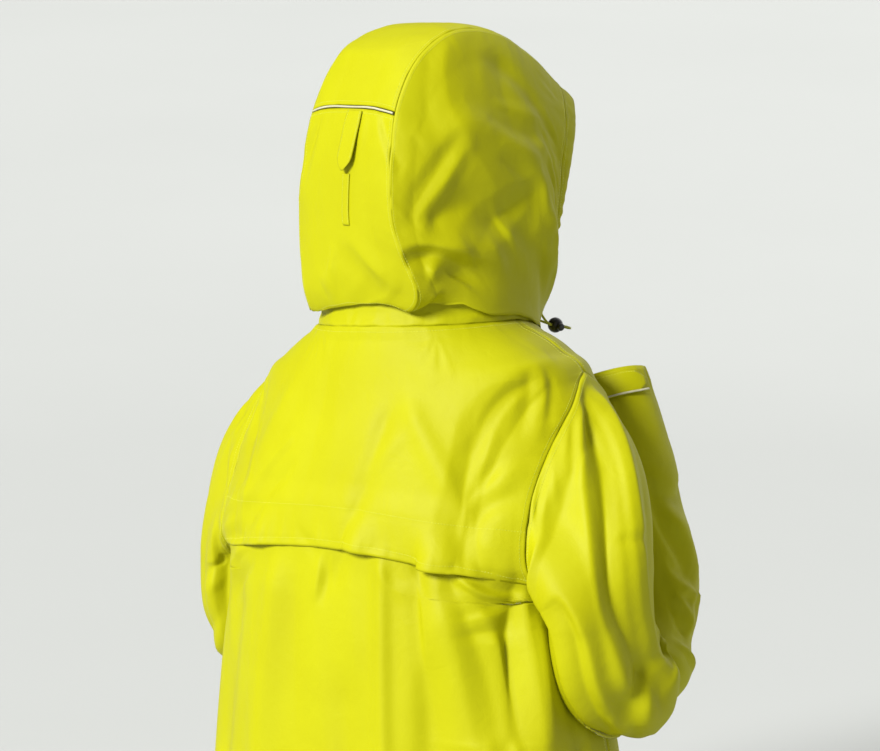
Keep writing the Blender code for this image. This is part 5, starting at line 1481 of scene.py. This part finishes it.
def front(name, side, node):
    levels = body_levels()[:, None]
    share = np.linspace(0, 1, FRONT_COLUMNS + 1)[None, :]
    angles = side * front_angles(levels, share, ZIP_GAP)
    points, out = body_surface(levels, angles), body_normal(levels, angles)
    edges = (("first_row", "hem", 1.0), ("first_column", "armhole", 0.9), ("last_column", "hem", 0.5),
             ("last_row", "neck", 0.7))
    points = points + out * panel_relief(points, edges, 40.0 + 9 * side)[..., None]
    made, normals = shell(name, points, out, CLOTH, INSIDE, hem_wall(points, "first_row"))
    stitch_line(points, normals, "first_row", HEM_DEPTH - HEM_STITCH)
    stitch_line(points, normals, "last_column", 0.005)
    stitch_line(points, normals, "first_column", SEAM_ALLOWANCE)
    wear(made, "coated_cloth", node)


# --- Sleeves and cuffs


def sleeve(name, table, side, node):
    points, out = sleeve_surface(table, side)
    away, along = edge_distances(points, "first_row")
    height = seam_relief(away, along, 61.0 + side, 1.3, "armhole", armhole_fill(points, "first_row"))
    away, along = edge_distances(points, "last_row")
    height = height + hem_relief(away, along, 67.0 + side, HEM_DEPTH, 1.0)
    turns = loop_turns(points[0])[None, :]
    under = np.radians(np.abs(turns - 180)) * SLEEVE_RADIUS + 0 * height
    height = height - 0.0009 * bump(under, SEAM_GROOVE_WIDTH)
    points = points + out * height[..., None]
    wall = SHELL + HEM_WALL * in_hem(away, HEM_DEPTH)
    made, normals = shell(name, points, out, CLOTH, INSIDE, wall, closed_round=True)
    stitch_line(points, normals, "first_row", SEAM_ALLOWANCE, close=True)
    stitch_line(points, normals, "last_row", HEM_DEPTH - HEM_STITCH, close=True)
    wear(made, "coated_cloth", node)


def cuff_strip(name, table, side, edges, lift, wall, materials, slot, node):
    low, high = np.array(edges)
    share = np.linspace(0, 1, 49)[None, :]
    knots = np.linspace(0, 1, len(low))
    low, high = (np.interp(share, knots, ends) for ends in (low, high))
    turns = CUFF_TAB_START + (CUFF_TAB_END - CUFF_TAB_START) * share
    up = np.linspace(0, 1, 13)[:, None]
    from_edge = CUFF_TAB_MIDDLE - CUFF_TAB_HALF * (low + (high - low) * up)
    last, before = np.array(table[-1])[1:4], np.array(table[-2])[1:4]
    places = table[-1].place - from_edge / np.linalg.norm(last - before)
    places, turns = np.broadcast_arrays(places, turns)

    def surface(place, turn):
        return arm_point(table, place, turn, side)

    inside = np.minimum(places, table[-1].place - ARM_STEP)
    normals = surface_normals(surface, inside, turns, ARM_STEP, TURN_STEP) * -side
    rise = lift + CUFF_TAB_STAND * share**2 + wall
    points = surface(places, turns) + normals * (rise + 0 * places)[..., None]
    points = thin_edges(points, normals, ("first_row", "last_row", "last_column"))
    made, normals = shell(name, points, normals, *materials, wall)
    wear(made, slot, node)
    return points, normals, made


def cuff(table, side, end):
    edges = (TAB_LOW_EDGE, TAB_HIGH_EDGE)
    points, normals, tab = cuff_strip(
        f"tab_cuff_{end}", table, side, edges, CUFF_TAB_LIFT, TAB_WALL, (CLOTH, INSIDE), "coated_cloth",
        f"cuff_tab_{end}")
    for edge in ("first_row", "last_row"):
        stitch_line(points[:, :-6], normals[:, :-6], edge, 0.0022)
    low_edge = np.array(TAB_LOW_EDGE[:-1])
    edges = (low_edge + CUFF_TRIM_INSET, low_edge + CUFF_TRIM_INSET + CUFF_TRIM)
    lift = CUFF_TAB_LIFT + TAB_WALL + CUFF_TRIM_LIFT
    cuff_strip(
        f"trim_cuff_{end}", table, side, edges, lift, CUFF_TRIM_WALL, (TRIM, TRIM), "reflective_trim",
        f"cuff_trim_{end}")


# --- Collar and hood


def collar():
    angles = neck_angles()[None, :]
    heights = np.linspace(0, COLLAR_HEIGHT, 15)[:, None]
    points = collar_point(heights, angles)
    level_out = unit(points * np.array((1.0, 1.0, 0.0)) + np.array((0.0, 1e-6, 0.0)))
    share = ease(heights / heights[7])[..., None]
    out = unit(level_out * share + body_normal(NECK, angles) * (1 - share))
    away, along = edge_distances(points, "first_row")
    height = seam_relief(away, along, 83.0, 1.0, "neck") + 0.0009 * crumple(points, 0.020, 33.0)
    top, _ = edge_distances(points, "last_row")
    height = height - 0.0008 * rolled(top, HEM_ROLL)
    points = points + out * height[..., None]
    made, normals = shell("stand_collar", points, out, CLOTH, INSIDE)
    stitch_line(points, normals, "last_row", 0.004)
    wear(made, "coated_cloth", "collar")


def hood_panel(name, steps, turns, edges, node):
    points, out = hood_surface(steps, turns), hood_normal(steps, turns)
    ridge = ease((steps - BAND_STEPS) / 1.2)
    points = draped(points + out * panel_relief(points, edges, 90.0 + len(name), ridge)[..., None])
    made, normals = shell(name, points, out, CLOTH, INSIDE)
    for edge, _, _ in edges:
        stitch_line(points, normals, edge, 0.0045)
    wear(made, "coated_cloth", node)


def draped(points):
    """The foot of the hood: it hangs lower to the right and in uneven waves."""
    place = points[..., 0] * DRAPE_WAY[0] + points[..., 1] * DRAPE_WAY[1]
    drop = np.interp(place, [row[0] for row in DRAPE], [row[1] for row in DRAPE]) * MM
    drop = drop + 0.0030 * noise(points * (1.0, 1.0, 0.0), 0.022, 19.0)
    share = ease((DRAPE_TOP - points[..., 2]) / DRAPE_TOP)
    outwards = unit(points * (1.0, 1.0, 0.0) + (0.0, 1e-6, 0.0))
    return points + share[..., None] * (outwards * 0.004 - drop[..., None] * np.array((0.0, 0.0, 1.0)))


def piping_bend(turns):
    """How far along the hood, in steps, the piping lies from its even course at each turn."""
    return (0.8 - ((turns - 90.0) / PIPING_HALF) ** 2) * PIPING_SAG / HOOD_STEP


def fine_steps(start, end):
    return hood_steps(start, end, int((end - start) * HOOD_FINE))


def hood():
    upper = fine_steps(BAND_STEPS, CROWN_STEP)
    lower = fine_steps(CROWN_STEP, NAPE_STEP - SIDE_END)
    crown = upper.copy()
    crown[-1] -= PIPING_ROOM
    back = fine_steps(CROWN_STEP + PIPING_ROOM, NAPE_STEP)
    seams = (("first_column", "ridge", 0.8), ("last_column", "ridge", 0.8))
    ends = (("first_row", "seam", 0.7), ("last_row", "seam", 0.7))
    turns = centre_turns(crown)
    crown = crown + piping_bend(turns) * ease((crown - BAND_STEPS) / (CROWN_STEP - BAND_STEPS))
    hood_panel("crown", crown, turns, (*seams, *ends), "hood_crown")
    turns = centre_turns(back)
    back = back + piping_bend(turns) * ease((NAPE_STEP - back) / (NAPE_STEP - CROWN_STEP))
    hood_panel("nape", back, turns, (*seams, *ends), "hood_back")
    steps = np.concatenate((upper, lower[1:]))
    for end, side in (("right", 1), ("left", -1)):
        hood_panel(f"side_{end}", steps, side_turns(steps, side), (("last_column", "ridge", 0.8), ends[0]),
                   f"hood_side_{end}")


def band():
    """The casing of the drawcord: a tunnel along the face edge, gathered where the cord draws it in."""
    seam = np.array([[BAND_STEPS]])
    turns = np.concatenate(
        (side_turns(seam, 1)[0], centre_turns(seam)[0, 1:-1], side_turns(seam, -1)[0, ::-1])
    )
    turns = np.interp(np.linspace(0, len(turns) - 1, 2 * len(turns) - 1), np.arange(len(turns)), turns)
    steps = np.linspace(0.0, BAND_STEPS - BAND_ROOM, 15)[:, None]
    points, out = hood_surface(steps, turns[None, :]), hood_normal(steps, turns[None, :] + 0 * steps)
    share = steps / steps[-1]
    run = edge_distances(points[:1], "first_column")[0][0][None, :]
    z = points[:1, :, 2]
    drawn = ease((GATHER_TOP + 0.02 - z) / 0.06) * ease((z - 0.004) / 0.02)
    phase = run / 0.0150 + 1.3 * noise(np.stack((run, 0 * run, 0 * run), axis=-1), 0.03, 7.0)
    slant = 0.55 * share
    folds = np.sin(2 * math.pi * (phase + slant))
    size = 0.6 + 0.5 * noise(np.stack((run, 0 * run + 2, 0 * run), axis=-1), 0.025, 5.0)
    height = 0.0016 * folds * size * (0.15 + 0.85 * drawn) * (1 - 0.75 * share**2)
    height = height + 0.0012 * np.sin(math.pi * np.clip(share * 1.35, 0, 1))
    height = height - 0.0024 * rolled(share, 0.14)
    away, along = edge_distances(points, "last_row")
    height = height + seam_relief(away, along, 97.0, 1.0)
    height = height * ease(np.minimum(turns, 180 - turns) / 2)[None, :]
    points = points + out * height[..., None]
    made, normals = shell("casing", points, out, CLOTH, INSIDE)
    stitch_line(points, normals, "last_row", 0.0040)
    wear(made, "coated_cloth", "hood_band")


def tube(name, route, radius, around, material, braid=0.0):
    """A round cord along a route. braid is how deep its strands' pattern is."""
    route = np.asarray(route)
    run = run_along(route)
    way = unit(np.gradient(route, axis=0))
    side = unit(np.cross(way[0], (0.3, 0.2, 1.0)))
    sides = []
    for direction in way:
        side = unit(side - direction * (side @ direction))
        sides.append(side)
    side = np.array(sides)
    other = np.cross(way, side)
    a = np.linspace(0, 2 * math.pi, around + 1)[None, :-1]
    twist = run[:, None] / (4 * radius) * 2 * math.pi
    reach = radius * (1 - braid * (0.5 + 0.5 * np.cos(4 * a + twist) * np.cos(4 * a - twist)))
    ring = side[:, None] * np.cos(a)[..., None] + other[:, None] * np.sin(a)[..., None]
    points = route[:, None] + ring * reach[..., None]
    count = len(route)
    index = np.arange(count * around).reshape(count, around)
    index = np.concatenate((index, index[:, :1]), axis=1)
    quads = grid_corners(index).reshape(-1, 4)
    centres = np.stack((route[0], route[-1]))
    points = np.concatenate((points.reshape(-1, 3), centres))
    made = bpy.data.meshes.new(name)
    faces = [tuple(map(int, q)) for q in quads]
    faces += [(int(b), int(a), count * around) for a, b in zip(index[0, :-1], index[0, 1:])]
    faces += [(int(a), int(b), count * around + 1) for a, b in zip(index[-1, :-1], index[-1, 1:])]
    made.from_pydata([tuple(map(float, p)) for p in points], [], faces)
    made.materials.append(material)
    made.shade_smooth()
    return add_object(name, made)


def piping():
    turns = centre_turns(np.array([[CROWN_STEP]]))[0]
    turns[0] += PIPING_SET_IN
    turns[-1] -= PIPING_SET_IN
    out = PIPING_PROUD - WALL / 2
    edge = turns[-1] - 90.0
    seam_rise = SEAM_RISES["ridge"][0] * np.clip(1 - (edge - np.abs(turns - 90.0)) / PIPING_EDGE, 0.0, 1.0)
    steps = CROWN_STEP + piping_bend(turns)
    points = hood_surface(steps, turns) + hood_normal(steps, turns) * (out + seam_rise)[:, None]
    wear(tube("piping_cord", points, PIPING_THIN, 16, TRIM), "reflective_trim", "hood_piping")


def strip_on_hood(name, steps, halves, lifts, wall, materials, slot, node):
    across = np.linspace(-1, 1, 17)[None, :]
    turns = turn_at(steps[:, None], TAB_MIDDLE_X + across * halves[:, None])
    grid = steps[:, None] + 0 * turns
    normals = hood_normal(grid, turns)
    lift = lifts[:, None] + wall + 0 * turns
    points = hood_surface(grid, turns) + normals * lift[..., None]
    points = thin_edges(points, normals, ("first_column", "last_column", "last_row"))
    made, normals = shell(name, points, normals, *materials, wall)
    wear(made, slot, node)
    return made, points, normals


def tab():
    start = CROWN_STEP + TAB_START + float(piping_bend(90.0))
    share = np.linspace(0, 1, 41)
    steps = start + TAB_STEPS * share
    knots = (0.0, 0.2, 0.4, 0.6, 0.78, 0.86, 0.93, 1.0)
    halves = TAB_HALF * np.interp(share, knots, (1, 1, 1, 1, 0.97, 0.82, 0.52, 0.12))
    lifts = TAB_LIFT + TAB_STAND * share**1.5
    made, points, normals = strip_on_hood(
        "tab_hood", steps, halves, lifts, TAB_WALL, (CLOTH, INSIDE), "coated_cloth", "hood_tab")
    for edge in ("first_column", "last_column"):
        stitch_line(points[:34], normals[:34], edge, 0.0022)
    steps = np.linspace(TAPE_TOP_STEP, TAPE_END_STEP, 31)
    made, points, normals = strip_on_hood(
        "tape_hood", steps, np.full(31, TAPE_HALF), np.full(31, TAB_LIFT), TAPE_WALL, (CLOTH, INSIDE),
        "coated_cloth", "hood_loop_tape")
    for edge in ("first_column", "last_column"):
        stitch_line(points, normals, edge, 0.0012)


# --- Zip


def zip_rows(half, top, columns):
    share = np.linspace(-1, 1, columns)
    rows = []
    for level in body_levels():
        edge = 180 - float(zip_edge(level, half))
        rows.append(body_surface(level, 180 + share * edge))
    for height in np.linspace(0, top, 9)[1:]:
        edge = 180 - float(zip_edge(NECK, half))
        rows.append(collar_point(np.full(columns, height), 180 + share * edge))
    return np.array(rows)


def front_zip():
    top = COLLAR_HEIGHT - ZIP_END
    points = zip_rows(ZIP_TAPE_HALF, top, 17) + np.array((0.0, ZIP_TAPE_DROP, 0.0))
    out = np.broadcast_to(np.array((0.0, -1.0, 0.0)), points.shape)
    made, _ = shell("tape_zip", points, out, TAPE, TAPE, ZIP_TAPE_WALL)
    wear(made, "coated_cloth", "zip_tape")
    middle = zip_rows(ZIP_CHAIN_HALF, SLIDER_HEIGHT - SLIDER_LONG - SEAM_GAP, 3)[:, 1]
    middle = middle + np.array((0.0, TOOTH_HALF, 0.0))
    run = run_along(middle)
    count = int(run[-1] / ZIP_PITCH)
    at = (np.arange(count) + 0.5) * ZIP_PITCH
    place = points_along(at, run, middle)
    ahead = points_along(at + LOOK_AHEAD, run, middle)
    way = unit(ahead - place + 1e-9)
    right = np.array((-1.0, 0.0, 0.0))
    out = unit(np.cross(way, right[None]))
    out = out * np.sign(-out[:, 1:2])
    side = np.where(np.arange(count) % 2 == 0, 1.0, -1.0)[:, None]
    points = []
    section = [(0.36, 1.0), (1.0, 0.45), (1.0, -0.6), (0.36, -1.0), (-0.36, -1.0), (-1.0, -0.6),
               (-1.0, 0.45), (-0.36, 1.0)]
    reach = ((-0.62, 0.55), (-0.35, 0.95), (0.2, 1.0), (0.75, 0.85), (1.0, 0.7))
    for across, size in reach:
        for lengthwise, rise in section:
            points.append(
                place
                + right * side * ZIP_CHAIN_HALF * across
                + way * ZIP_PITCH * 0.36 * lengthwise * size
                + out * TOOTH_HALF * rise * size
            )
    quads = ring_quads(len(reach), 8)
    last = (len(reach) - 1) * 8
    for base in (0, last):
        quads += [(base, base + 1, base + 2, base + 3), (base, base + 3, base + 4, base + 7),
                  (base + 4, base + 5, base + 6, base + 7)]
    wear(add_copies("teeth_zip", np.stack(points, axis=1), quads, METAL), "zip_metal", "zip_chain")


# --- Materials


class Look:
    """A material's nodes, made one after another."""

    def __init__(self, name):
        self.material = bpy.data.materials.new(name)
        self.material.use_nodes = True
        self.tree = self.material.node_tree
        self.shader = self.tree.nodes["Principled BSDF"]

    def node(self, kind, settings=(), **inputs):
        made = self.tree.nodes.new(kind)
        for name, value in dict(settings).items():
            setattr(made, name, value)
        for name, value in inputs.items():
            socket = made.inputs[name.replace("_", " ")]
            if isinstance(value, bpy.types.NodeSocket):
                self.tree.links.new(value, socket)
            else:
                socket.default_value = value
        return made

    def link(self, output, socket):
        self.tree.links.new(output, self.shader.inputs[socket])

    def noise(self, place, scale, detail=3.0, rough=0.55, distortion=0.0):
        made = self.node("ShaderNodeTexNoise", Vector=place, Scale=scale, Detail=detail, Roughness=rough,
                         Distortion=distortion)
        return made.outputs["Fac"]

    def ramp(self, value, stops):
        made = self.node("ShaderNodeValToRGB", Fac=value)
        ramp = made.color_ramp
        for number, (at, colour) in enumerate(stops):
            stop = ramp.elements[number] if number < 2 else ramp.elements.new(at)
            stop.position = at
            stop.color = (*colour, 1.0)
        return made.outputs["Color"]

    def spread(self, value, low, high):
        made = self.node("ShaderNodeMapRange", Value=value)
        made.inputs["To Min"].default_value = low
        made.inputs["To Max"].default_value = high
        return made.outputs["Result"]

    def bump(self, height, strength, distance, under=None):
        made = self.node("ShaderNodeBump", Height=height)
        made.inputs["Strength"].default_value = strength
        made.inputs["Distance"].default_value = distance
        if under is not None:
            self.tree.links.new(under, made.inputs["Normal"])
        return made.outputs["Normal"]

    def set(self, **values):
        for socket, value in values.items():
            self.shader.inputs[socket.replace("_", " ")].default_value = value

    def places(self, kind="Object"):
        return self.node("ShaderNodeTexCoord").outputs[kind]


def cloth_look(name, light, dark, roughness, sheen):
    """Coated woven cloth: its colour varies softly, with a fine weave under small wrinkles."""
    look = Look(name)
    place = look.places()
    patches = look.noise(place, 9.0, 4.0)
    look.link(look.ramp(patches, ((0.3, dark), (0.7, light))), "Base Color")
    look.link(look.spread(look.noise(place, 34.0), *roughness), "Roughness")
    woven = look.places("UV")
    warp = look.node("ShaderNodeTexWave", {"bands_direction": "X", "wave_profile": "SIN"}, Vector=woven,
                     Scale=WEAVE, Distortion=0.6)
    weft = look.node("ShaderNodeTexWave", {"bands_direction": "Y", "wave_profile": "SIN"}, Vector=woven,
                     Scale=WEAVE, Distortion=0.6)
    weave = look.node("ShaderNodeMath", {"operation": "MULTIPLY"})
    look.tree.links.new(warp.outputs["Fac"], weave.inputs[0])
    look.tree.links.new(weft.outputs["Fac"], weave.inputs[1])
    normal = look.bump(weave.outputs[0], 0.25, 0.00012)
    normal = look.bump(look.noise(place, 260.0, 3.0, 0.6, 0.4), 0.22, 0.0004, normal)
    normal = look.bump(look.noise(place, 48.0, 2.0, 0.5, 0.9), 0.22, 0.0022, normal)
    look.link(normal, "Normal")
    look.set(Sheen_Weight=sheen, Sheen_Roughness=0.45, IOR=1.24, Specular_IOR_Level=0.5)
    return look.material


def trim_look(name):
    """Reflective tape: beige beads in a fine grid."""
    look = Look(name)
    place = look.places()
    look.link(look.ramp(look.noise(place, 60.0), ((0.3, (0.44, 0.42, 0.27)), (0.7, (0.52, 0.50, 0.34)))),
              "Base Color")
    beads = look.node("ShaderNodeTexVoronoi", Vector=place, Scale=1500.0).outputs["Distance"]
    look.link(look.spread(beads, 0.28, 0.5), "Roughness")
    look.link(look.bump(beads, 0.35, 0.0002), "Normal")
    look.set(Coat_Weight=0.05)
    return look.material


def plain_look(name, scale, dark, light, gloss=None, grain=None, **values):
    """Soft patches of two close colours. gloss and grain give the scale of a noise and what it sets."""
    look = Look(name)
    place = look.places()
    look.link(look.ramp(look.noise(place, scale), ((0.3, dark), (0.7, light))), "Base Color")
    if gloss:
        look.link(look.spread(look.noise(place, gloss[0]), *gloss[1:]), "Roughness")
    if grain:
        look.link(look.bump(look.noise(place, grain[0]), *grain[1:]), "Normal")
    look.set(**values)
    return look.material


# --- Camera, light and floor


def view_way():
    a, e = math.radians(VIEW_AZIMUTH), math.radians(VIEW_ELEVATION)
    return Vector((math.sin(a) * math.cos(e), -math.cos(a) * math.cos(e), math.sin(e)))


def add_camera():
    data = bpy.data.cameras.new("camera")
    data.lens = LENS
    data.sensor_width = SENSOR
    data.shift_x = (IMAGE[0] / 2 - NECK_PIXEL[0]) / IMAGE[0]
    data.shift_y = -(IMAGE[1] / 2 - NECK_PIXEL[1]) / IMAGE[0]
    camera = add_object("camera", data)
    camera.location = view_way() * VIEW_DISTANCE
    camera.rotation_euler = view_way().to_track_quat("Z", "Y").to_euler()
    bpy.context.scene.camera = camera


def add_lamp(name, way, strength, spread):
    data = bpy.data.lights.new(name, "SUN")
    data.energy = strength
    data.angle = math.radians(spread)
    add_object(name, data).rotation_euler = Vector(way).to_track_quat("Z", "Y").to_euler()


def add_studio():
    scene = bpy.context.scene
    scene.view_settings.view_transform = "Standard"
    world = bpy.data.worlds.new("studio")
    scene.world = world
    world.use_nodes = True
    sky = world.node_tree.nodes["Background"]
    sky.inputs["Color"].default_value = (*SKY, 1.0)
    sky.inputs["Strength"].default_value = SKY_STRENGTH
    for lamp in LAMPS:
        add_lamp(*lamp)


def add_floor():
    """A pale floor that rises gently far out, so that it fills the view behind the jacket."""
    around = np.linspace(0, 2 * math.pi, FLOOR_SIDES + 1)[:-1]
    points, faces = [(0.0, 0.0, FLOOR_HEIGHT)], []
    for ring, reach in enumerate(FLOOR_RINGS):
        far = max(reach - FLOOR_FLAT, 0.0)
        rise = FLOOR_HEIGHT + FLOOR_SLOPE * far**2 / (far + FLOOR_EASE)
        points += [(reach * math.cos(a), reach * math.sin(a), rise) for a in around]
        for k in range(FLOOR_SIDES):
            a, b = 1 + ring * FLOOR_SIDES + k, 1 + ring * FLOOR_SIDES + (k + 1) % FLOOR_SIDES
            faces.append((0, a, b) if ring == 0 else (a - FLOOR_SIDES, a, b, b - FLOOR_SIDES))
    mesh = bpy.data.meshes.new("floor")
    mesh.from_pydata(points, [], faces)
    mesh.materials.append(
        plain_look("pale_floor", 0.4, (0.500, 0.514, 0.496), (0.512, 0.526, 0.508), Roughness=0.9,
                   Specular_IOR_Level=0.1))
    mesh.shade_smooth()
    add_object("floor", mesh)


# --- Cords and locks


def cut(base, others):
    """Cuts the others from the base and softens its edges, as a mesh of its own."""
    for other in others:
        change = base.modifiers.new(other.name, "BOOLEAN")
        change.operation = "DIFFERENCE"
        change.solver = "EXACT"
        change.object = other
    soft = base.modifiers.new("edges", "BEVEL")
    soft.width = LOCK_SOFT
    soft.segments = 2
    soft.limit_method = "ANGLE"
    soft.angle_limit = math.radians(40)
    seen = bpy.context.evaluated_depsgraph_get()
    mesh = bpy.data.meshes.new_from_object(base.evaluated_get(seen))
    base.modifiers.clear()
    base.data = mesh
    for other in others:
        bpy.data.objects.remove(other, do_unlink=True)
    mesh.shade_smooth()
    mesh.set_sharp_from_angle(angle=math.radians(35))


def in_frame(name, points, faces, frame_of):
    """A closed shape in a lock's frame, in which its button points along Z."""
    middle, along, button, across = frame_of
    mesh = bpy.data.meshes.new(name)
    mesh.from_pydata([tuple(map(float, p)) for p in points], [], faces)
    mesh.transform(Matrix((along, across * -1, button)).transposed().to_4x4())
    mesh.transform(Matrix.Translation(middle))
    return add_object(name, mesh)


def turned(name, profile, around, frame_of):
    """A closed shape turned about its own Z from a profile of radius and height, in a frame."""
    a = np.linspace(0, 2 * math.pi, around + 1)[:-1]
    ring = np.stack((np.cos(a), np.sin(a)), axis=-1)
    points = np.concatenate([
        np.concatenate((ring * radius, np.full((around, 1), height)), axis=1) for radius, height in profile
    ])
    faces = ring_quads(len(profile), around)
    faces.append(tuple(range(around))[::-1])
    faces.append(tuple(range((len(profile) - 1) * around, len(profile) * around)))
    return in_frame(name, points, faces, frame_of)


def slab(name, low, high, frame_of):
    """A block from one corner to another, in a frame."""
    corners = [(x, y, z) for z in (low[2], high[2]) for y in (low[1], high[1]) for x in (low[0], high[0])]
    faces = [(0, 2, 3, 1), (4, 5, 7, 6), (0, 1, 5, 4), (2, 6, 7, 3), (0, 4, 6, 2), (1, 3, 7, 5)]
    return in_frame(name, corners, faces, frame_of)


def lock(place):
    """A ball lock and its button, with a slot through both for the cord and a bore for the button."""
    frame_of = lock_frame(place)
    a = np.linspace(-math.pi / 2 + 0.12, math.pi / 2 - 0.12, 40)
    ball = [(LOCK_RADIUS * math.cos(t), LOCK_RADIUS * math.sin(t)) for t in a]
    barrel = turned(f"ball_{place.side}", ball, 56, frame_of)
    floor = BUTTON_HOLE_LOW - BUTTON_FLOOR
    bore_radius = BUTTON_RADIUS + BUTTON_CLEARANCE
    low = floor - BUTTON_STROKE - BUTTON_CLEARANCE
    bore = turned("bore", [(bore_radius, low), (bore_radius, 2 * LOCK_RADIUS)], 40, frame_of)
    size = np.array((2 * LOCK_RADIUS, LOCK_SLOT / 2, LOCK_SLOT_HALF))
    cut(barrel, [bore, slab("slot", -size, size, frame_of)])
    rim = LOCK_RADIUS + BUTTON_HEAD - BUTTON_ROUND
    dome = [(BUTTON_RADIUS, floor), (BUTTON_RADIUS, rim)]
    dome += [(BUTTON_RADIUS - BUTTON_ROUND * (1 - math.cos(t)), rim + BUTTON_ROUND * math.sin(t))
             for t in np.linspace(0.25, math.pi / 2, 6)]
    stem = turned(f"push_{place.side}", dome, 40, frame_of)
    low = (-LOCK_RADIUS, -LOCK_SLOT / 2, BUTTON_HOLE_LOW)
    cut(stem, [slab("hole", low, (LOCK_RADIUS, LOCK_SLOT / 2, BUTTON_HOLE_HIGH), frame_of)])
    for made, node, body in (
        (barrel, "lock_barrel", "jacket"),
        (stem, "lock_button", f"{place.side}_button"),
    ):
        made.data.materials.clear()
        made.data.materials.append(PLASTIC)
        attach(made, body)
        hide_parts(f"{node}_{place.side}")
    return barrel, stem


def cord(place):
    route = cord_route(place)
    fine = smooth_route(route, 0.0005)
    made = tube(f"cord_{place.side}", fine, CORD_DIAMETER / 2, 24, CORD, 0.10)
    wear(made, "cord", f"hood_cord_{place.side}")
    lock(place)


# --- The whole scene

CLOTH = cloth_look("coated_cloth_look", (0.400, 0.400, 0.0010), (0.372, 0.364, 0.0006), (0.50, 0.62), 0.0)
INSIDE = cloth_look("cloth_inside_look", (0.46, 0.46, 0.012), (0.40, 0.39, 0.008), (0.55, 0.68), 0.20)
TAPE = cloth_look("tape_look", (0.55, 0.57, 0.01), (0.47, 0.49, 0.01), (0.6, 0.75), 0.2)
TRIM = trim_look("reflective_look")
THREAD = plain_look("thread_look", 300.0, (0.42, 0.45, 0.01), (0.62, 0.66, 0.03), None, (1800.0, 0.4, 0.0002),
                    Roughness=0.6, Sheen_Weight=0.3)
CORD = plain_look("braid_look", 500.0, (0.30, 0.31, 0.01), (0.52, 0.54, 0.03), None, (1400.0, 0.5, 0.0003),
                  Roughness=0.62, Sheen_Weight=0.25)
PLASTIC = plain_look("plastic_look", 120.0, (0.010, 0.010, 0.011), (0.020, 0.020, 0.021), (700.0, 0.28, 0.44),
                     (1600.0, 0.12, 0.0002))
METAL = plain_look("metal_look", 90.0, (0.23, 0.24, 0.25), (0.36, 0.37, 0.38), (420.0, 0.24, 0.42),
                   (2100.0, 0.1, 0.0002), Metallic=0.9)

add_camera()
add_studio()
add_floor()
for place, lay in zip(LOCKS, ("taut", "hanging")):
    cord(place)
lower_back()
yoke()
front("front_piece_right", 1, "front_right")
front("front_piece_left", -1, "front_left")
sleeve("arm_right", RIGHT_ARM, 1, "sleeve_right")
sleeve("arm_left", LEFT_ARM, -1, "sleeve_left")
cuff(RIGHT_ARM, 1, "right")
cuff(LEFT_ARM, -1, "left")
collar()
hood()
band()
piping()
tab()
front_zip()
wear(stitch_mesh("stitches", THREAD), "coated_cloth")
for node in ("zip_slider", "zip_pull"):
    bpy.data.objects[node].data.materials.clear()
    bpy.data.objects[node].data.materials.append(METAL)
